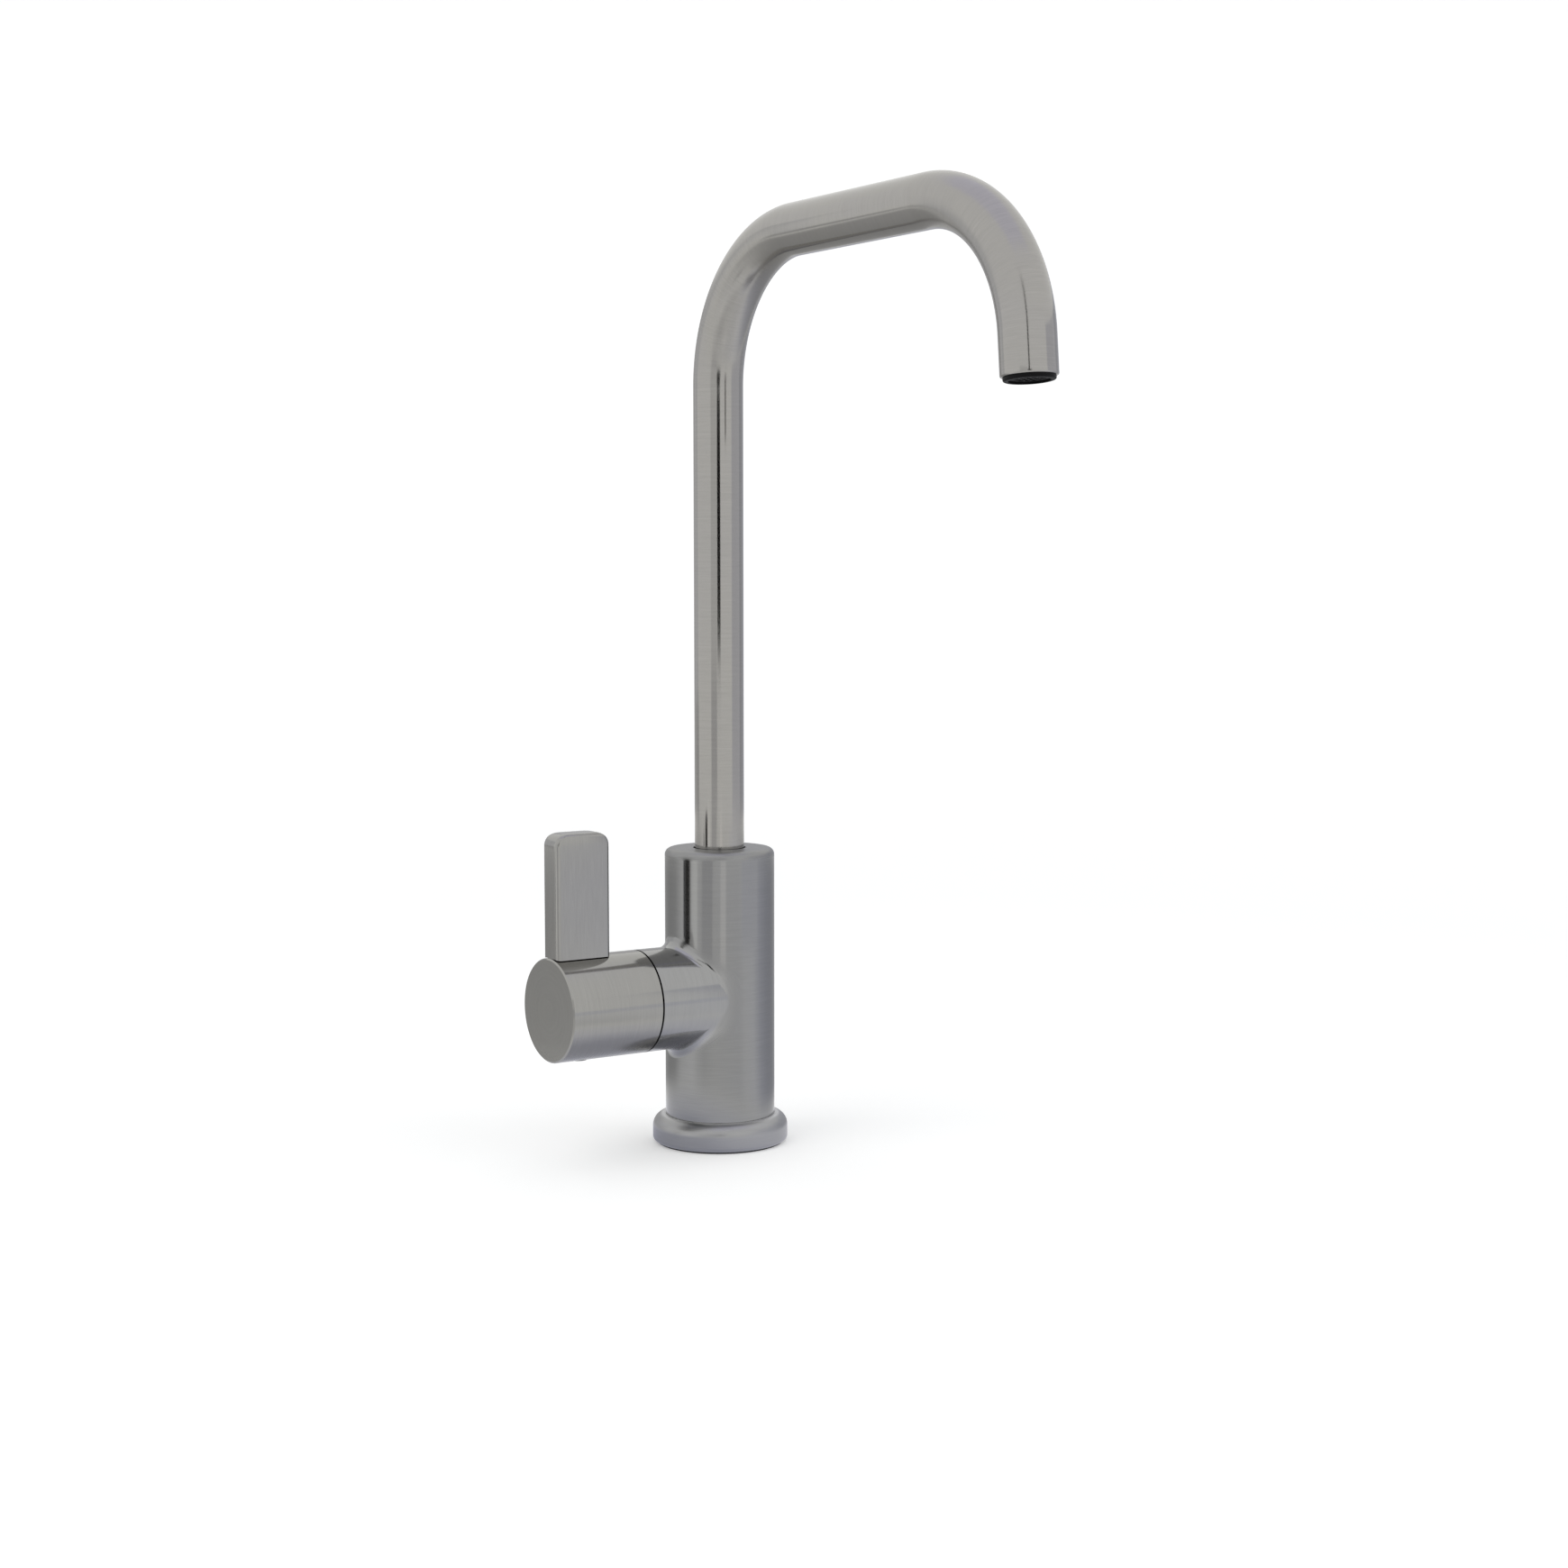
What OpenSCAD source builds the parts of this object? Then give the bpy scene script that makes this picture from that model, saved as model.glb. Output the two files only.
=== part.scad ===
// Boiling water tap: an upright body with a side lever and a tall swivel spout.
// The origin is on the body's axis at the worktop. +Z is up, the spout reaches
// towards -Y, and the barrel that carries the lever points towards -X.

/* [Body] */
// Diameter of the upright body
body_d = 40; // [38:0.5:46]
// Height of the body above the worktop
body_h = 108.5; // [106:0.5:130]
// Rounding of the body's top edge
body_edge_r = 2.5; // [0.5:0.5:4]

/* [Base] */
// How far the base flange stands out from the body
flange_step = 4.75; // [3:0.25:10]
// Height of the flange where it meets the body
flange_h = 10.5; // [8:0.5:16]
// Rounding of the flange's upper edge
flange_top_r = 4.5; // [1:0.5:5]
// Rounding of the flange's lower edge
flange_foot_r = 1.5; // [0.5:0.5:2]
// Height of the lip that the body stands on
seat_z = 4; // [3:0.5:6]
// Step in from the body's side to the spigot under it
spigot_step = 3.2; // [2.8:0.1:4]
// Thickness of the base gasket
gasket_t = 1.2; // [0.8:0.1:2]
// How far the gasket stands out under the flange
gasket_proud = 0.6; // [0.2:0.1:0.7]
// Step in from the flange's edge to the gasket's edge
gasket_inset = 1.7; // [1:0.1:2.5]

/* [Handle barrel] */
// Diameter of the barrel and of the boss behind it
barrel_d = 37; // [35:0.5:37.5]
// Height of the body's top above the barrel's axis
barrel_drop = 53.5; // [52.5:0.5:63]
// Distance from the body's axis to the boss's face
boss_reach = 34.5; // [33:0.5:38]
// Gap between the boss and the turning barrel
handle_gap = 0.7; // [0.6:0.1:1.2]
// Length of the turning barrel
hub_len = 35.8; // [34:0.1:42]
// Depth of the hollow in the barrel
hub_hollow = 14.8; // [14:0.1:16]
// Wall of the barrel round its hollow
hub_wall = 3; // [2.5:0.1:4]
// Chamfer on the barrel's outer edge
hub_chamfer = 0.5; // [0.2:0.1:1]

/* [Lever] */
// Width of the lever along the barrel
lever_w = 21; // [18:0.5:22]
// Thickness of the lever
lever_t = 9.2; // [8.6:0.2:12]
// Height of the lever's top above the barrel's axis
lever_rise = 63.5; // [50:0.5:80]
// Step in from the barrel's end face to the lever
lever_inset = 1; // [0.5:0.1:2]
// Rounding of the lever's upright edges
lever_edge_r = 2; // [0.5:0.1:3]
// Rounding of the lever's two top corners
lever_corner_r = 4.5; // [2:0.5:6]
// Diameter of the stud that holds the lever
stud_d = 6; // [5:0.5:6.5]
// Length of the stud inside the lever
stud_up = 16; // [10:0.5:20]
// Length of the stud inside the barrel
stud_down = 10; // [7:0.5:11]

/* [Handle screw] */
// Diameter of the grub screw that holds the barrel on the spindle
grub_d = 5; // [4:0.5:5]
// Length of the grub screw
grub_len = 8; // [6:0.5:9]
// Size of the grub screw's hexagon socket across corners
grub_hex = 2.9; // [2:0.1:3.2]
// Depth of the hexagon sockets
hex_depth = 2.5; // [1.5:0.1:3]
// Diameter of the plug that covers the grub screw
plug_d = 6.8; // [6:0.2:8]
// Length of the plug
plug_len = 2.8; // [2:0.1:3.5]

/* [Spout] */
// Outer diameter of the spout tube
tube_d = 18; // [17:0.2:18.2]
// Wall of the spout tube
tube_wall = 1.2; // [1:0.1:1.5]
// Height of the level run's centre line above the worktop
spout_h = 325; // [240:1:400]
// Distance from the riser's axis to the start of the outlet bend
spout_run = 125; // [60:1:180]
// Radius of both bends at the centre line
bend_r = 50; // [30:1:58]
// Outward tilt of the outlet leg, in degrees
leg_tilt = 5.009; // [0, 4.984, 5.009, 5.159]
// Length of the straight outlet leg
leg_len = 12.7; // [12.4:0.1:60]
// Rounding of the tube's outlet edge
tube_lip_r = 0.6; // [0.2:0.1:0.8]

/* [Spout swivel] */
// Depth of the socket in the body's top
socket_depth = 38.5; // [37:0.5:42]
// Diameter of the socket where the O-rings seal
seal_bore_d = 18.5; // [18.3:0.1:18.8]
// Gap round the tube at the body's top
mouth_gap = 0.6; // [0.4:0.1:0.9]
// Free depth under the swivel nipple
sump = 5; // [3:0.5:6]
// Length of the nipple below the tube
nipple_land = 14; // [13:0.5:16]
// Length of the nipple inside the tube
nipple_spigot = 12; // [8:0.5:20]
// Height of each O-ring's groove
ring_slot = 2.2; // [2:0.1:2.4]
// Thickness of the spout's O-rings
ring_section = 1.8; // [1.6:0.1:1.9]
// Width of the groove that the retaining screw runs in
keep_slot = 3.6; // [3:0.1:4]
// Depth of the groove that the retaining screw runs in
keep_depth = 1.8; // [1.2:0.1:2.2]
// Step from the mouth down to the guide bush
bush_drop = 4.5; // [3:0.1:6]
// Height of the guide bush
bush_h = 9; // [6:0.1:9]
// Wall of the guide bush
bush_wall = 1.9; // [1.4:0.1:2.4]
// Width of the slit that lets the bush snap in
bush_slit = 2; // [1:0.1:4]
// Diameter of the retaining screw
keeper_d = 5; // [4:0.5:6]
// Diameter of the retaining screw's tip
keeper_tip_d = 3; // [2:0.1:3.4]

/* [Outlet] */
// How far the outlet housing stands out of the tube
outlet_proud = 1.3; // [0.8:0.1:2.5]
// Diameter of the outlet housing's rim
outlet_rim_d = 16.3; // [16:0.1:17]
// Length of the outlet housing inside the tube
outlet_len = 7.5; // [6:0.1:7.6]
// Wall of the outlet housing
outlet_wall = 1.2; // [0.9:0.1:1.5]
// Thickness of the flow straightener
comb_t = 5; // [3:0.1:6]
// Step from the rim up to the flow straightener
comb_step = 0.6; // [0.3:0.1:1]
// Size of the straightener's hexagon cells across corners
cell_d = 1.9; // [1.5:0.1:2.2]
// Thickness of the walls between the cells
cell_wall = 0.45; // [0.35:0.05:0.7]
// Thickness of the outlet's rubber seal
outlet_seal_t = 1.2; // [0.8:0.1:1.3]

/* [Inner hose] */
// Outer diameter of the hose inside the spout
hose_d = 10; // [9:0.2:11]
// Bore of the hose inside the spout
hose_bore = 7; // [6:0.2:7.5]
// Length of the nozzle that the hose is pushed on
nozzle_len = 3.5; // [2:0.1:3.6]
// Wall of the nozzle that the hose is pushed on
nozzle_wall = 1; // [0.8:0.1:1.4]

/* [Waterways and fixing] */
// Core diameter of the threaded inlet port
port_d = 9; // [8:0.1:10]
// Depth of the inlet port
port_depth = 12; // [10:0.5:16]
// Sideways place of the inlet port
port_x = 4; // [2:0.5:6]
// Diameter of the water passages
passage_d = 6.6; // [5:0.2:7]
// Core diameter of the two threaded fixing holes
fixing_d = 6.8; // [5:0.1:7]
// Distance between the two fixing holes
fixing_pitch = 22; // [20:0.5:24]
// Depth of the fixing holes
fixing_depth = 14; // [10:0.5:20]

/* [Cartridge] */
// Distance from the body's axis to the valve seat
seat_reach = 4; // [3:0.5:5]
// Thickness of the seat seal
seal_t = 2.2; // [1.8:0.1:2.6]
// Diameter of the ceramic discs
disc_d = 14.9; // [14:0.1:15]
// Thickness of each ceramic disc
disc_t = 3; // [2.5:0.1:3.5]
// Radius where the windows in the discs begin
window_in = 2; // [1.5:0.1:2.5]
// Radius where the windows in the discs end
window_out = 6; // [5:0.1:6.2]
// Angle of each window in the discs
window_angle = 80; // [60:1:85]
// Outer diameter of the cartridge's nose
nose_d = 18.9; // [18.5:0.1:19]
// Length of the cartridge's nose
nose_len = 18; // [17.5:0.1:19]
// Diameter of the cartridge's side ports
side_port_d = 5; // [3:0.1:5.5]
// Diameter of the chamber round the side ports
chamber_d = 24; // [22:0.5:26]
// Width of the chamber round the side ports
chamber_w = 7; // [6:0.1:7.5]
// Diameter of the cartridge's thread
thread_d = 20.9; // [20:0.1:22]
// Size of the cartridge's hexagon across corners
hexagon_d = 26; // [24:0.2:27]
// Thickness of the cartridge's hexagon
hexagon_t = 5.5; // [4:0.1:6]
// Diameter of the cartridge's neck
neck_d = 14; // [13:0.1:16]
// Length of the neck outside the hexagon
neck_len = 6; // [5:0.1:6.2]
// Diameter of the spindle where it turns in the neck
journal_d = 9.8; // [9:0.1:10.5]
// Diameter of the spindle inside the barrel
spindle_d = 8; // [7:0.1:8.6]
// Length of the spindle inside the barrel
spindle_grip = 13; // [11:0.5:14]
// Thickness of the bar that turns the moving disc
drive_w = 7.8; // [5:0.1:8]
// Depth of the slot in the moving disc
drive_slot = 1; // [0.6:0.1:1.4]
// Length of the bar that turns the moving disc
drive_len = 7.2; // [6.8:0.1:7.4]
// Thickness of the cartridge's two O-rings
small_section = 1.5; // [1.2:0.1:1.6]
// Width of the lug that stops the handle, in degrees
stop_lug = 30; // [20:1:40]
// Quarter turn of the handle, in degrees
handle_turn = 90; // [60:1:90]
// Thickness of the stop ring and of the lug below it
stop_t = 1; // [0.8:0.1:1.2]
// Depth of the notch that the stop lug turns in
notch_depth = 2; // [1.5:0.1:2.5]
// Thickness of the circlip
clip_t = 0.9; // [0.7:0.1:1]

/* [Glide ring] */
// Thickness of the ring's flange in the gap
glide_t = 0.4; // [0.3:0.05:0.4]
// Step in from the barrel's surface to the ring's flange
glide_inset = 0.5; // [0.3:0.1:1]
// Wall of the ring's sleeve
glide_wall = 1; // [0.8:0.1:1.2]
// Length of the sleeve on each side of the flange
glide_sleeve = 3; // [2:0.1:4]

/* [Fits] */
// Gap on the radius between pieces that turn in one another
running_gap = 0.05; // [0.02:0.01:0.09]
// Gap between pieces that are fitted together
seat_gap = 0.05; // [0.02:0.01:0.1]
// Gap between pieces that pass each other
free_gap = 0.3; // [0.2:0.05:0.4]

/* [Hidden] */

$fn = 96;
// Overrun of every cut past the surface that it opens
over = 1;

body_r = body_d / 2;
barrel_r = barrel_d / 2;
tube_r = tube_d / 2;
tube_in_r = tube_r - tube_wall;
flange_r = body_r + flange_step;
spigot_r = body_r - spigot_step;
gasket_r = flange_r - gasket_inset;
gasket_in_r = spigot_r + seat_gap;
gasket_lift = gasket_proud;

barrel_z = body_h - barrel_drop;

// Heights inside the body
socket_z = body_h - socket_depth;
nipple_z = socket_z + sump;
tube_z = nipple_z + nipple_land;
mouth_r = tube_r + mouth_gap;
seal_bore_r = seal_bore_d / 2;
nipple_r = seal_bore_r - running_gap;
bush_top_z = body_h - bush_drop;
bush_z = bush_top_z - bush_h;
bush_in_r = tube_r + running_gap;
bush_out_r = bush_in_r + bush_wall;
keep_z = tube_z - keep_slot;
keep_mid_z = keep_z + keep_slot / 2;
ring_step = (keep_z - nipple_z) / 2;
ring_zs = [nipple_z + ring_step / 2, nipple_z + ring_step * 3 / 2];
ring_out_r = seal_bore_r - running_gap / 2;
ring_in_r = ring_out_r - ring_section;

// The spout's centre line
riser_top_z = spout_h - bend_r;
bend_sweep = 90 - leg_tilt;

// The outlet, measured along the leg from the end of the bend
outlet_top = leg_len - outlet_len;
outlet_r = tube_in_r - seat_gap;
cup_r = outlet_r - outlet_wall;
cup_depth = comb_step + comb_t + seat_gap;
hose_r = hose_d / 2;
hose_in_r = hose_bore / 2;
nozzle_r = hose_in_r - seat_gap;
hose_end = outlet_top - seat_gap - outlet_seal_t;
cell_pitch = cell_d * sqrt(3) / 2 + cell_wall;
cell_rings = floor((cup_r - cell_d) / cell_pitch);

// Places along the barrel, measured from the body's axis
hub_start = boss_reach + handle_gap;
barrel_reach = hub_start + hub_len;
hub_floor = hub_start + hub_hollow;
hub_hollow_r = barrel_r - hub_wall;
lever_mid = barrel_reach - lever_inset - lever_w / 2;
stud_r = stud_d / 2;
grub_r = grub_d / 2;
plug_r = plug_d / 2;
spindle_r = spindle_d / 2;
journal_r = journal_d / 2;
grub_tip = spindle_r + seat_gap;

// The cartridge, measured from the body's axis
disc_r = disc_d / 2;
disc_room_r = disc_r + 3 * seat_gap;
fixed_at = seat_reach + seal_t;
moving_at = fixed_at + disc_t + running_gap;
drive_at = moving_at + disc_t - drive_slot + seat_gap;
drive_end = drive_at + drive_slot + drive_len;
nose_at = seat_reach + seal_t / 2;
nose_end = nose_at + nose_len - seal_t / 2;
nose_r = nose_d / 2;
nose_bore_r = nose_r + seat_gap;
room_end = drive_end + free_gap;
side_port_at = moving_at + disc_t + (room_end - moving_at - disc_t) / 2;
chamber_at = side_port_at - chamber_w / 2;
thread_r = thread_d / 2;
neck_at = boss_reach + hexagon_t;
neck_end = neck_at + neck_len;
neck_r = neck_d / 2;
stop_at = neck_end + running_gap;
clip_at = stop_at + stop_t + seat_gap;
journal_end = clip_at + clip_t + seat_gap + clip_t;
spindle_end = hub_floor + spindle_grip;
small_r = small_section / 2;
small_slot = small_section + 4 * seat_gap;
housing_ring_at = (room_end + nose_end) / 2;
spindle_ring_at = (room_end + neck_end) / 2;
clip_in_r = journal_r - clip_t;

// The glide ring
glide_r = barrel_r - glide_inset;
glide_out_r = hub_hollow_r - running_gap;
glide_in_r = glide_out_r - glide_wall;

satin_nickel = "#9a9894";
raw_brass = "#c9a95b";
black_plastic = "#17171a";
black_rubber = "#222224";
white_plastic = "#e4e3dd";
pale_ceramic = "#f1efe8";
steel_screw = "#b4b6b9";
clear_hose = "#d9d3c4";

// Ring or tube that stands on the XY plane
module ring(r_out, r_in, h) {
    difference() {
        cylinder(h = h, r = r_out);
        translate([0, 0, -over]) cylinder(h = h + 2 * over, r = r_in);
    }
}

// O-ring with its middle on the XY plane
module o_ring(r_in, section) {
    rotate_extrude() translate([r_in + section / 2, 0]) circle(r = section / 2, $fn = 32);
}

// Sets its children on the barrel's axis: their +Z points away from the body, their +X up
module on_barrel(at) {
    translate([-at, 0, barrel_z]) rotate([0, -90, 0]) children();
}

// Sets its children in the outlet bend: their +Z is the bend's axis, and +X is its start
module in_outlet_bend() {
    translate([0, -spout_run, riser_top_z]) rotate([90, 0, 90]) rotate([0, 0, 90]) children();
}

// Sets its children on the outlet leg: their +Z points the way the water leaves
module on_leg(at) {
    in_outlet_bend() rotate([0, 0, bend_sweep]) translate([bend_r, 0, 0])
        rotate([-90, 0, 0]) translate([0, 0, at]) children();
}

// Straight drilling between two points in the XZ plane
module drilling(from, to, r) {
    step = to - from;
    translate([from[0], 0, from[1]])
        rotate([0, atan2(step[0], step[1]), 0])
            cylinder(h = norm(step), r = r);
}

// Solid round bar along the spout's centre line
module spout_bar(r, from_z, leg_to) {
    translate([0, 0, from_z]) cylinder(h = riser_top_z - from_z, r = r);
    translate([0, -bend_r, riser_top_z]) rotate([90, 0, 90])
        rotate_extrude(angle = 90) translate([bend_r, 0]) circle(r = r);
    translate([0, -bend_r, spout_h]) rotate([90, 0, 0]) cylinder(h = spout_run - bend_r, r = r);
    in_outlet_bend() difference() {
        rotate_extrude(angle = 90) translate([bend_r, 0]) circle(r = r);
        rotate([0, 0, bend_sweep]) translate([0, 0, -bend_r]) cube([2 * bend_r, bend_r, 2 * bend_r]);
    }
    on_leg(0) cylinder(h = leg_to, r = r);
}

// Half outline of a round piece whose top outer edge is rounded
module rounded_top(r, h, edge) {
    square([r - edge, h]);
    square([r, h - edge]);
    translate([r - edge, h - edge]) circle(r = edge);
}

// Pie slice with its tip on the axis, as wide as the angle and centred on +X
module slice(r, angle) {
    reach = r / cos(angle / 2);
    side = [reach * cos(angle / 2), reach * sin(angle / 2)];
    polygon([[0, 0], [side[0], -side[1]], [side[0], side[1]]]);
}

// Screw with a hexagon socket in its head end, drawn from its tip upwards
module socket_screw(r, len, hex) {
    difference() {
        cylinder(h = len, r = r);
        translate([0, 0, len - hex_depth]) cylinder(h = hex_depth + over, r = hex / 2, $fn = 6);
    }
}

// Upright body with its side boss, the spout's socket and the waterways
module tap_body() {
    color(satin_nickel) difference() {
        union() {
            cylinder(h = seat_z, r = spigot_r);
            translate([0, 0, seat_z]) rotate_extrude() rounded_top(body_r, body_h - seat_z, body_edge_r);
            on_barrel(0) cylinder(h = boss_reach, r = barrel_r);
        }
        socket_cuts();
        cartridge_cuts();
        base_cuts();
    }
}

// Socket for the swivel nipple, mouth for the tube, groove for the bush and the screw's hole
module socket_cuts() {
    translate([0, 0, socket_z]) cylinder(h = socket_depth, r = seal_bore_r);
    translate([0, 0, tube_z]) cylinder(h = body_h - tube_z + over, r = mouth_r);
    translate([0, 0, bush_z - seat_gap]) cylinder(h = bush_h + 2 * seat_gap, r = bush_out_r + seat_gap);
    translate([0, 0, keep_mid_z]) rotate([-90, 0, 0]) cylinder(h = body_r + over, r = keeper_d / 2);
}

// Bores for the cartridge, the chamber round its side ports and the glide ring's groove
module cartridge_cuts() {
    on_barrel(seat_reach) cylinder(h = nose_end - seat_reach, r = nose_bore_r);
    on_barrel(chamber_at) cylinder(h = chamber_w, r = chamber_d / 2);
    on_barrel(nose_end) cylinder(h = boss_reach - nose_end + over, r = thread_r + seat_gap);
    on_barrel(boss_reach - glide_sleeve - seat_gap)
        ring(glide_out_r + seat_gap, glide_in_r - seat_gap, glide_sleeve + seat_gap + over);
    on_barrel(-port_x) cylinder(h = seat_reach + port_x + over, r = passage_d / 2);
    drilling([-chamber_at - chamber_w / 2, barrel_z + nose_bore_r],
        [-seal_bore_r + passage_d / 2, socket_z + passage_d / 4], passage_d / 2);
}

// Inlet port, its passage up to the seat, and the two fixing holes
module base_cuts() {
    translate([port_x, 0, -over]) cylinder(h = port_depth + over, r = port_d / 2);
    translate([port_x, 0, 0]) cylinder(h = barrel_z, r = passage_d / 2);
    for (side = [-1, 1])
        translate([0, side * fixing_pitch / 2, -over]) cylinder(h = fixing_depth + over, r = fixing_d / 2);
}

// Round foot that the body stands in
module base_flange() {
    color(satin_nickel) difference() {
        rotate_extrude() flange_outline();
        translate([0, 0, seat_z]) cylinder(h = flange_h, r = body_r + seat_gap);
        translate([0, 0, -over]) cylinder(h = seat_z + 2 * over, r = spigot_r + seat_gap);
        translate([0, 0, -over]) cylinder(h = gasket_t + over, r = gasket_r + seat_gap);
    }
}

// Half outline of the flange, with both outer edges rounded
module flange_outline() {
    translate([0, gasket_lift]) square([flange_r - flange_foot_r, flange_foot_r]);
    translate([flange_r - flange_foot_r, gasket_lift + flange_foot_r]) circle(r = flange_foot_r);
    translate([0, gasket_lift + flange_foot_r])
        rounded_top(flange_r, flange_h - gasket_lift - flange_foot_r, flange_top_r);
}

// Flat rubber ring that seals the flange to the worktop
module base_gasket() {
    color(black_rubber) ring(gasket_r, gasket_in_r, gasket_t);
}

// Bent tube of the spout, with a rounded outlet edge
module spout_tube() {
    color(satin_nickel) difference() {
        union() {
            spout_bar(tube_r, tube_z, leg_len / 2);
            on_leg(leg_len / 2) rotate_extrude() rounded_top(tube_r, leg_len / 2, tube_lip_r);
        }
        spout_bar(tube_in_r, tube_z - over, leg_len + over);
    }
}

// Turned nipple in the tube's foot, with grooves for the O-rings and the retaining screw
module swivel_nipple() {
    color(raw_brass) difference() {
        union() {
            translate([0, 0, nipple_z]) cylinder(h = nipple_land, r = nipple_r);
            translate([0, 0, tube_z]) cylinder(h = nipple_spigot, r = tube_in_r - seat_gap);
        }
        translate([0, 0, nipple_z - over])
            cylinder(h = nipple_land + nipple_spigot + 2 * over, r = hose_r + seat_gap);
        for (z = ring_zs)
            translate([0, 0, z - ring_slot / 2]) ring(nipple_r + over, ring_in_r - seat_gap, ring_slot);
        translate([0, 0, keep_z]) ring(nipple_r + over, nipple_r - keep_depth, keep_slot);
    }
}

// One of the two O-rings that seal the nipple in its socket
module spout_o_ring(i) {
    color(black_rubber) translate([0, 0, ring_zs[i]]) o_ring(ring_in_r, ring_section);
}

// Split plastic ring that steadies the tube in the body's mouth
module guide_bush() {
    color(black_plastic) difference() {
        translate([0, 0, bush_z]) ring(bush_out_r, bush_in_r, bush_h);
        translate([-bush_slit / 2, 0, bush_z - over])
            cube([bush_slit, bush_out_r + over, bush_h + 2 * over]);
    }
}

// Screw in the body's back whose tip runs in the nipple's groove
module spout_retaining_screw() {
    thread_from = seal_bore_r + seat_gap;
    tip_from = nipple_r - keep_depth + free_gap;
    thread_len = body_r - keeper_d / 2 - thread_from;
    color(steel_screw) translate([0, 0, keep_mid_z]) rotate([-90, 0, 0]) {
        translate([0, 0, thread_from]) socket_screw(keeper_d / 2 - seat_gap, thread_len, grub_hex);
        translate([0, 0, tip_from]) cylinder(h = thread_from - tip_from, r = keeper_tip_d / 2);
    }
}

// Hose inside the spout that keeps boiling water off the tube
module inner_hose() {
    color(clear_hose) difference() {
        spout_bar(hose_r, nipple_z, hose_end);
        spout_bar(hose_in_r, nipple_z - over, hose_end + over);
    }
}

// Black housing in the spout's end, with a nozzle for the hose
module outlet_housing() {
    cup_top = leg_len + outlet_proud - cup_depth;
    color(black_plastic) difference() {
        union() {
            on_leg(outlet_top) cylinder(h = outlet_len, r = outlet_r);
            on_leg(leg_len) rotate_extrude()
                rounded_top(outlet_rim_d / 2, outlet_proud, outlet_proud / 2);
            on_leg(hose_end - nozzle_len) cylinder(h = outlet_top - hose_end + nozzle_len, r = nozzle_r);
        }
        on_leg(cup_top) cylinder(h = cup_depth + over, r = cup_r);
        on_leg(hose_end - nozzle_len - over)
            cylinder(h = cup_top - hose_end + nozzle_len + 2 * over, r = nozzle_r - nozzle_wall);
    }
}

// Comb of hexagon cells that makes the jet run straight
module flow_straightener() {
    color(black_plastic) on_leg(leg_len + outlet_proud - comb_step - comb_t) difference() {
        cylinder(h = comb_t, r = cup_r - seat_gap);
        for (i = [-cell_rings:cell_rings], j = [-cell_rings:cell_rings])
            if (abs(i + j) <= cell_rings)
                translate([cell_pitch * (i + j / 2), cell_pitch * j * sqrt(3) / 2, -over])
                    rotate([0, 0, 30]) cylinder(h = comb_t + 2 * over, r = cell_d / 2, $fn = 6);
    }
}

// Rubber washer between the outlet housing and the hose's end
module outlet_seal() {
    color(black_rubber) on_leg(hose_end + seat_gap) ring(tube_in_r - seat_gap, nozzle_r + seat_gap, outlet_seal_t);
}

// Turning barrel: a cup over the cartridge with a solid end that grips the spindle
module handle_hub() {
    color(satin_nickel) difference() {
        on_barrel(hub_start) rotate_extrude() hub_outline();
        on_barrel(hub_start - over) cylinder(h = hub_hollow + over, r = hub_hollow_r);
        on_barrel(hub_floor - over)
            cylinder(h = spindle_grip + over + free_gap, r = spindle_r + seat_gap);
        translate([-lever_mid, 0, barrel_z + barrel_r - stud_down])
            cylinder(h = stud_down + over, r = stud_r + seat_gap);
        translate([-lever_mid, 0, barrel_z - barrel_r - over])
            cylinder(h = barrel_r + over, r = grub_r + seat_gap);
        translate([-lever_mid, 0, barrel_z - barrel_r - over])
            cylinder(h = plug_len + seat_gap + over, r = plug_r + seat_gap);
    }
}

// Half outline of the barrel with a chamfered outer edge
module hub_outline() {
    polygon([
        [0, 0], [barrel_r, 0], [barrel_r, hub_len - hub_chamfer],
        [barrel_r - hub_chamfer, hub_len], [0, hub_len]
    ]);
}

// Upright lever whose foot follows the barrel
module lever_paddle() {
    color(satin_nickel) difference() {
        translate([-lever_mid, 0, barrel_z]) intersection() {
            rotate([90, 0, 0]) translate([0, 0, -lever_t / 2]) linear_extrude(height = lever_t)
                lever_face();
            linear_extrude(height = lever_rise) lever_plan();
        }
        on_barrel(hub_start) cylinder(h = hub_len + over, r = barrel_r + free_gap);
        translate([-lever_mid, 0, barrel_z]) cylinder(h = barrel_r + stud_up + seat_gap, r = stud_r + seat_gap);
    }
}

// The lever seen from the front, with rounded top corners
module lever_face() {
    half = lever_w / 2;
    translate([-half, 0]) square([lever_w, lever_rise - lever_corner_r]);
    translate([-half + lever_corner_r, 0]) square([lever_w - 2 * lever_corner_r, lever_rise]);
    for (side = [-1, 1])
        translate([side * (half - lever_corner_r), lever_rise - lever_corner_r])
            circle(r = lever_corner_r);
}

// The lever seen from above, with rounded edges
module lever_plan() {
    mid = [lever_w / 2 - lever_edge_r, lever_t / 2 - lever_edge_r];
    square([lever_w, 2 * mid[1]], center = true);
    square([2 * mid[0], lever_t], center = true);
    for (i = [-1, 1], j = [-1, 1])
        translate([i * mid[0], j * mid[1]]) circle(r = lever_edge_r);
}

// Stud that joins the lever to the barrel
module lever_stud() {
    color(steel_screw) translate([-lever_mid, 0, barrel_z + barrel_r - stud_down + seat_gap])
        cylinder(h = stud_down + stud_up - seat_gap, r = stud_r);
}

// Grub screw that presses the barrel on to the spindle
module handle_grub_screw() {
    color(steel_screw) translate([-lever_mid, 0, barrel_z - grub_tip]) rotate([180, 0, 0])
        socket_screw(grub_r, grub_len, grub_hex);
}

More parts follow.
